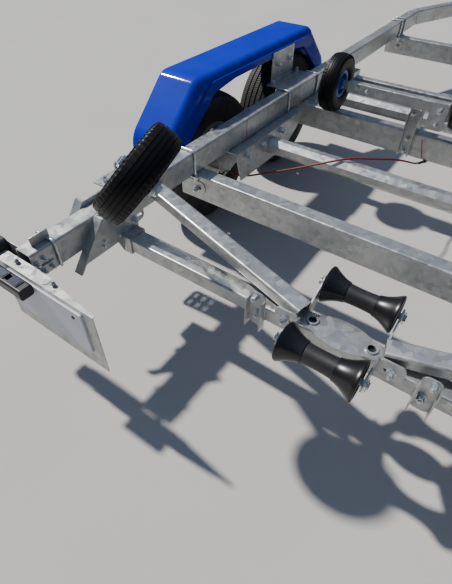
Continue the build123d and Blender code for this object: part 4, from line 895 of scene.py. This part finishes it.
def add_side_wheel_bolts(row, side, sign):
    """A side wheel's rim bolts, which turn with it, and its axle's nut and head, which don't."""
    low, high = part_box(f"side_rim_{row}_{side}")
    centre = (low + high) / 2
    body = f"side_wheel_{row}_{side}"
    axle = joint_axes[body].normalized()
    if (axle.z if row == "rear" else axle.x * sign) < 0:
        axle = -axle
    first = axle.orthogonal().normalized()
    second = axle.cross(first)
    rim_bolts = bmesh.new()
    for angle in turns(STUDS):
        spoke = (first * math.cos(angle) + second * math.sin(angle)) * rim_bolt_circle
        for way in (-1, 1):
            add_bolt(rim_bolts, centre + spoke + axle * way * rim_web, axle * way, M6)
    finish_shape(f"rim_bolts_{row}_{side}", rim_bolts, ZINC, body)

    axle_nuts = bmesh.new()
    add_pieces(axle_nuts, centre, axle, AXLE_NUT)
    if row == "rear":
        add_pieces(axle_nuts, centre, -axle, AXLE_HEAD)
    finish_shape(f"axle_nut_{row}_{side}", axle_nuts, ZINC)


for row in ROWS:
    for side, sign in SIDES:
        add_wheel_nuts(row, side, sign)
        add_side_wheel_bolts(row, side, sign)


# Weld beads, the same on both sides

WELDS = (
    # start and end as (distance from the centre line, station, height)
    ((0.232, 1.742, 0.366), (0.232, 1.742, 0.476)),
    ((0.288, 1.742, 0.366), (0.288, 1.742, 0.476)),
    ((0.241, 0.355, 0.375), (0.241, 0.355, 0.431)),
    ((0.299, 0.355, 0.375), (0.299, 0.355, 0.431)),
    ((0.608, 1.718, 0.602), (0.608, 1.718, 0.648)),
    ((0.608, 1.720, 0.650), (0.608, 1.834, 0.650)),
    ((0.122, 1.720, 0.650), (0.122, 1.834, 0.650)),
    ((1.004, 1.642, 0.585), (1.004, 1.858, 0.585)),
    ((0.884, 0.373, 0.585), (0.884, 0.409, 0.585)),
    ((0.884, 0.373, 0.585), (0.922, 0.373, 0.585)),
    ((0.884, 0.409, 0.585), (0.922, 0.409, 0.585)),
    ((0.868, 0.528, 0.546), (0.868, 0.588, 0.546)),
    ((0.868, 0.528, 0.500), (0.868, 0.528, 0.546)),
    ((0.945, 0.386, 0.597), (0.945, 0.440, 0.597)),
    ((1.005, 0.498, 0.597), (1.005, 0.604, 0.597)),
    ((0.862, 0.264, 0.578), (0.862, 0.438, 0.578)),
    ((0.938, 3.701, 0.486), (0.938, 3.701, 0.570)),
    ((0.868, 3.695, 0.486), (0.868, 3.695, 0.570)),
    ((0.874, 3.696, 0.578), (0.932, 3.700, 0.578)),
    ((0.035, 5.096, 0.638), (0.035, 5.164, 0.638)),
    ((0.000, 5.095, 0.638), (0.035, 5.095, 0.638)),
    ((0.000, 5.165, 0.638), (0.035, 5.165, 0.638)),
)
bead_radius, bead_ripple, bead_wander = 0.0030, 0.0006, 0.0005
ripple_length = 0.0035

welds = bmesh.new()
for start, end in WELDS:
    for sign in BOTH:
        first = spot(sign * start[0], start[1], start[2])
        run = spot(sign * end[0], end[1], end[2]) - first
        ripples = max(3, int(run.length / ripple_length))
        rings = []
        for step in range(ripples + 1):
            share = step / ripples
            swell = bead_radius + (bead_ripple if step % 2 else -bead_ripple)
            swell += bead_wander * math.sin(share * 17.0 + start[1] * 9.0)
            if step in (0, ripples):
                swell *= 0.35
            place = place_along(first + run * share, run)
            rings.append([welds.verts.new(place @ round_point(swell, angle)) for angle in turns(8)])
        add_skin(welds, rings)
finish_shape("weld_beads", welds, STEEL, smooth_angle=70.0)


# Lamps, light board trim and marker lines


def lens(name, centre, width, height, corner, depth, material, face=DIRECTIONS["back"]):
    """A moulded lens or cover: a rounded plate with a smaller raised field, on a face."""
    border = 0.004
    across = Vector((1, 0, 0))
    place = facing(centre, across, Vector(face).cross(across))
    raised = place @ Matrix.Translation((0, 0, depth))
    shape = bmesh.new()
    add_plate(shape, place, rounded_box(width, height, corner), depth)
    add_plate(shape, raised, rounded_box(width - 2 * border, height - 2 * border, corner * 0.8), depth * 0.5)
    finish_shape(name, shape, material, smooth_angle=25.0)


TAIL_FIELDS = (
    # name, distance of the field's middle from the centre line, width, material
    ("amber", 1.188, 0.058, LENS_AMBER),
    ("red", 1.108, 0.092, LENS_RED),
    ("clear", 1.030, 0.054, LENS_CLEAR),
)
tail_face_s, tail_z, tail_height = -0.046, 0.512, 0.108
for side, sign in SIDES:
    for name, x, width, material in TAIL_FIELDS:
        centre = spot(sign * x, tail_face_s, tail_z)
        lens(f"tail_lens_{name}_{side}", centre, width, tail_height, 0.008, 0.005, material)

UP = DIRECTIONS["up"]
lamp_x, lamp_s, lamp_top = -0.880, -0.077, 0.544
for index, x in enumerate((-0.912, -0.848)):
    lens(f"plate_lamp_cover_{index}", spot(x, lamp_s, lamp_top), 0.044, 0.030, 0.004, 0.003, LENS_GREY, UP)
    centre = spot(lamp_x, lamp_s, lamp_top)
    lens(f"plate_lamp_square_{index}", centre, 0.014, 0.020, 0.003, 0.004, BLACK_PLASTIC, UP)

board_s, board_top = -0.0270, 0.552
board_trim = bmesh.new()
add_plate(
    board_trim,
    Matrix.Translation(spot(-0.820, board_s, board_top)),
    slot_outline((0, 0), 0.130, 0.034),
    0.0016,
    [slot_outline((0, 0), 0.116, 0.020)],
)
for x in (-0.905, -0.735):
    add_bolt(board_trim, spot(x, board_s + 0.001, board_top), UP, M8, 0.004, nut=True)
finish_shape("board_trim", board_trim, STEEL)

PLATE_SCREW = ((0.0065, 0.0), (0.0065, 0.0012), (0.0045, 0.0030), (0.0012, 0.0034))
plate_screws = bmesh.new()
for x in (-0.900, -0.636):
    add_turned(plate_screws, Vector((x, plate_rear_y, 0.505)), (0, -1, 0), PLATE_SCREW, 20)
finish_shape("plate_screws", plate_screws, BLACK_PLASTIC)

markers = bmesh.new()


def marker_line(place, points, width):
    """A hand-drawn stroke on a face, a hair thick."""
    left = [(x - width * (0.5 + 0.1 * math.sin(37 * y)), y) for x, y in points]
    right = [(x + width * (0.5 + 0.1 * math.cos(29 * y)), y) for x, y in reversed(points)]
    add_plate(markers, place, left + right, 0.0003)


marker_line(
    facing(spot(-rail_inner_x, 1.197, 0), (0, 1, 0), (0, 0, 1)),
    [(0.0, 0.482), (0.001, 0.510), (-0.001, 0.540), (0.0, 0.575)],
    0.004,
)
marker_line(
    facing(spot(0, 1.747, 0), (1, 0, 0), (0, 0, 1)),
    [(-0.168, 0.366), (-0.174, 0.395), (-0.183, 0.425), (-0.193, 0.456)],
    0.004,
)
finish_shape("marker_lines", markers, MARKER_RED)


# Cable ends, winch roll and ratchet, grips

CABLE_COLLAR = (
    (0.0050, 0.0), (0.0066, 0.004), (0.0066, 0.040), (0.0085, 0.041),
    (0.0085, 0.052), (0.0062, 0.053), (0.0062, 0.060),
)
CABLE_SOCKET = ((0.0105, 0.0), (0.0105, 0.006), (0.0075, 0.010), (0.0068, 0.030), (0.0052, 0.034))
cable_ends = bmesh.new()
for sign in BOTH:
    along = Vector((-sign * 0.044, 0.090, 0.0)).normalized()
    add_turned(cable_ends, spot(sign * 0.1533, 1.7384, 0.3532) - along * 0.030, along, CABLE_COLLAR, 20)
    add_turned(cable_ends, spot(sign * 1.0627, 1.230, 0.268), (-sign, 0, 0), CABLE_SOCKET, 20)
finish_shape("cable_ends", cable_ends, BLACK_PLASTIC)

drum_centre = spot(0.0, 5.033, 0.980)
strap_turns, turn_steps = 4.5, 40
inner_radius, pitch, web, strap_half = 0.0342, 0.0030, 0.0026, 0.025
roll = bmesh.new()
rows = []
for step in range(int(strap_turns * turn_steps) + 1):
    angle = 2 * math.pi * step / turn_steps
    radius = inner_radius + pitch * step / turn_steps
    rows.append([
        roll.verts.new(drum_centre + Vector((x, 0, 0)) + on_disc(radius + rise, angle))
        for x, rise in ((-strap_half, 0.0), (strap_half, 0.0), (strap_half, web), (-strap_half, web))
    ])
add_skin(roll, rows)
finish_shape("winch_strap", roll, WEBBING, smooth_angle=40.0)

RATCHET_TOOTH = (
    # share of the pitch, radius
    (0.0, 0.0400),
    (0.55, 0.0455),
    (0.80, 0.0455),
    (0.95, 0.0400),
)
teeth = 18
outline = [
    round_point(radius, 2 * math.pi * (tooth + share) / teeth)
    for tooth in range(teeth)
    for share, radius in RATCHET_TOOTH
]
ratchet = bmesh.new()
add_plate(ratchet, facing(drum_centre + Vector((0.0600, 0, 0)), (0, 1, 0), (0, 0, 1)), outline, 0.006)
finish_shape("winch_ratchet", ratchet, ZINC)

GRIPS = (
    # start and end as (x, station, height), radius at the waist: winch crank, handbrake lever
    ((0.104, 4.893, 1.040), (0.196, 4.893, 1.040), 0.0138),
    ((0.070, 5.780, 0.742), (0.070, 5.7603, 0.8488), 0.0146),
)
grip_ribs = 12
grips = bmesh.new()
for start, end, radius in GRIPS:
    start, end = spot(*start), spot(*end)
    length = (end - start).length
    gap = length / grip_ribs
    profile = [(radius * 0.8, 0.0), (radius * 1.08, 0.002)]
    for rib in range(grip_ribs):
        middle = length * (rib + 0.5) / grip_ribs
        for share, swell in ((-0.30, 1.06), (0.10, 1.06), (0.20, 1.0), (0.40, 1.0)):
            profile.append((radius * swell, middle + gap * share))
    profile += [(radius * 1.08, length - 0.0005), (radius * 0.9, length + 0.0008)]
    add_turned(grips, start, end - start, profile, 28)
finish_shape("grips", grips, BLACK_PLASTIC)


# Stage, light and camera


def make_stage():
    """A pale floor under the wheels."""
    half = 30.0
    shape = bmesh.new()
    corners = [shape.verts.new((x * half, y * half, 0.0)) for x, y in ((-1, -1), (1, -1), (1, 1), (-1, 1))]
    shape.faces.new(corners)
    material, tree, shader, where = start_material("pale_floor", Roughness=0.9)
    cloud = noise(tree, where, scale=1.3)
    tone = ramp(tree, cloud, ((0.3, (0.395, 0.385, 0.37)), (0.7, (0.42, 0.41, 0.395))))
    tree.links.new(tone, shader.inputs["Base Color"])
    floor = link_mesh("floor", shape, material)


def make_light():
    """A key light from the trailer's left, a sky that darkens toward the horizon, and a pale backdrop."""
    key = bpy.data.lights.new("key", "SUN")
    key.energy = 6.4
    key.angle = math.radians(2.2)
    key.color = (1.0, 0.965, 0.91)
    lamp = bpy.data.objects.new("key", key)
    lamp.rotation_mode = "QUATERNION"
    lamp.rotation_quaternion = Vector((0.8235, 0.05, -1.0)).to_track_quat("-Z", "Y")
    bpy.context.scene.collection.objects.link(lamp)
    world = bpy.data.worlds.new("sky")
    world.use_nodes = True
    tree = world.node_tree
    background = tree.nodes["Background"]
    direction = tree.nodes.new("ShaderNodeTexCoord").outputs["Generated"]
    height = tree.nodes.new("ShaderNodeSeparateXYZ")
    tree.links.new(direction, height.inputs["Vector"])
    sky = ramp(tree, height.outputs["Z"], (
        (0.0, (0.10, 0.098, 0.095)),
        (0.15, (0.16, 0.165, 0.17)),
        (0.45, (0.48, 0.62, 0.88)),
        (1.0, (0.62, 0.82, 1.25)),
    ))
    rays = tree.nodes.new("ShaderNodeLightPath")
    backdrop = mix_colours(tree, rays.outputs["Is Camera Ray"], sky, (1.33, 1.35, 1.39))
    tree.links.new(backdrop, background.inputs["Color"])
    background.inputs["Strength"].default_value = 0.38
    bpy.context.scene.world = world


def make_camera():
    """The photograph's view: behind the trailer, high, looking forward and to the left."""
    image_width = 452.0
    focal_pixels = 428.5
    azimuth = math.radians(34.75)
    pitch = math.radians(45.47)
    roll = math.radians(-0.71)
    camera = bpy.data.cameras.new("camera")
    camera.sensor_fit = "HORIZONTAL"
    camera.sensor_width = 36.0
    camera.lens = camera.sensor_width * focal_pixels / image_width
    camera.clip_start = 0.02
    camera.clip_end = 200.0
    eye = bpy.data.objects.new("camera", camera)
    bpy.context.scene.collection.objects.link(eye)
    forward = Vector((
        -math.sin(azimuth) * math.cos(pitch),
        math.cos(azimuth) * math.cos(pitch),
        -math.sin(pitch),
    ))
    level_right = forward.cross(Vector((0, 0, 1))).normalized()
    right = Matrix.Rotation(roll, 3, forward) @ level_right
    up = right.cross(forward)
    turned = Matrix((right, up, -forward)).transposed().to_4x4()
    eye.matrix_world = Matrix.Translation(spot(0.1755, -0.463, 1.428)) @ turned
    bpy.context.scene.camera = eye


make_stage()
make_light()
make_camera()
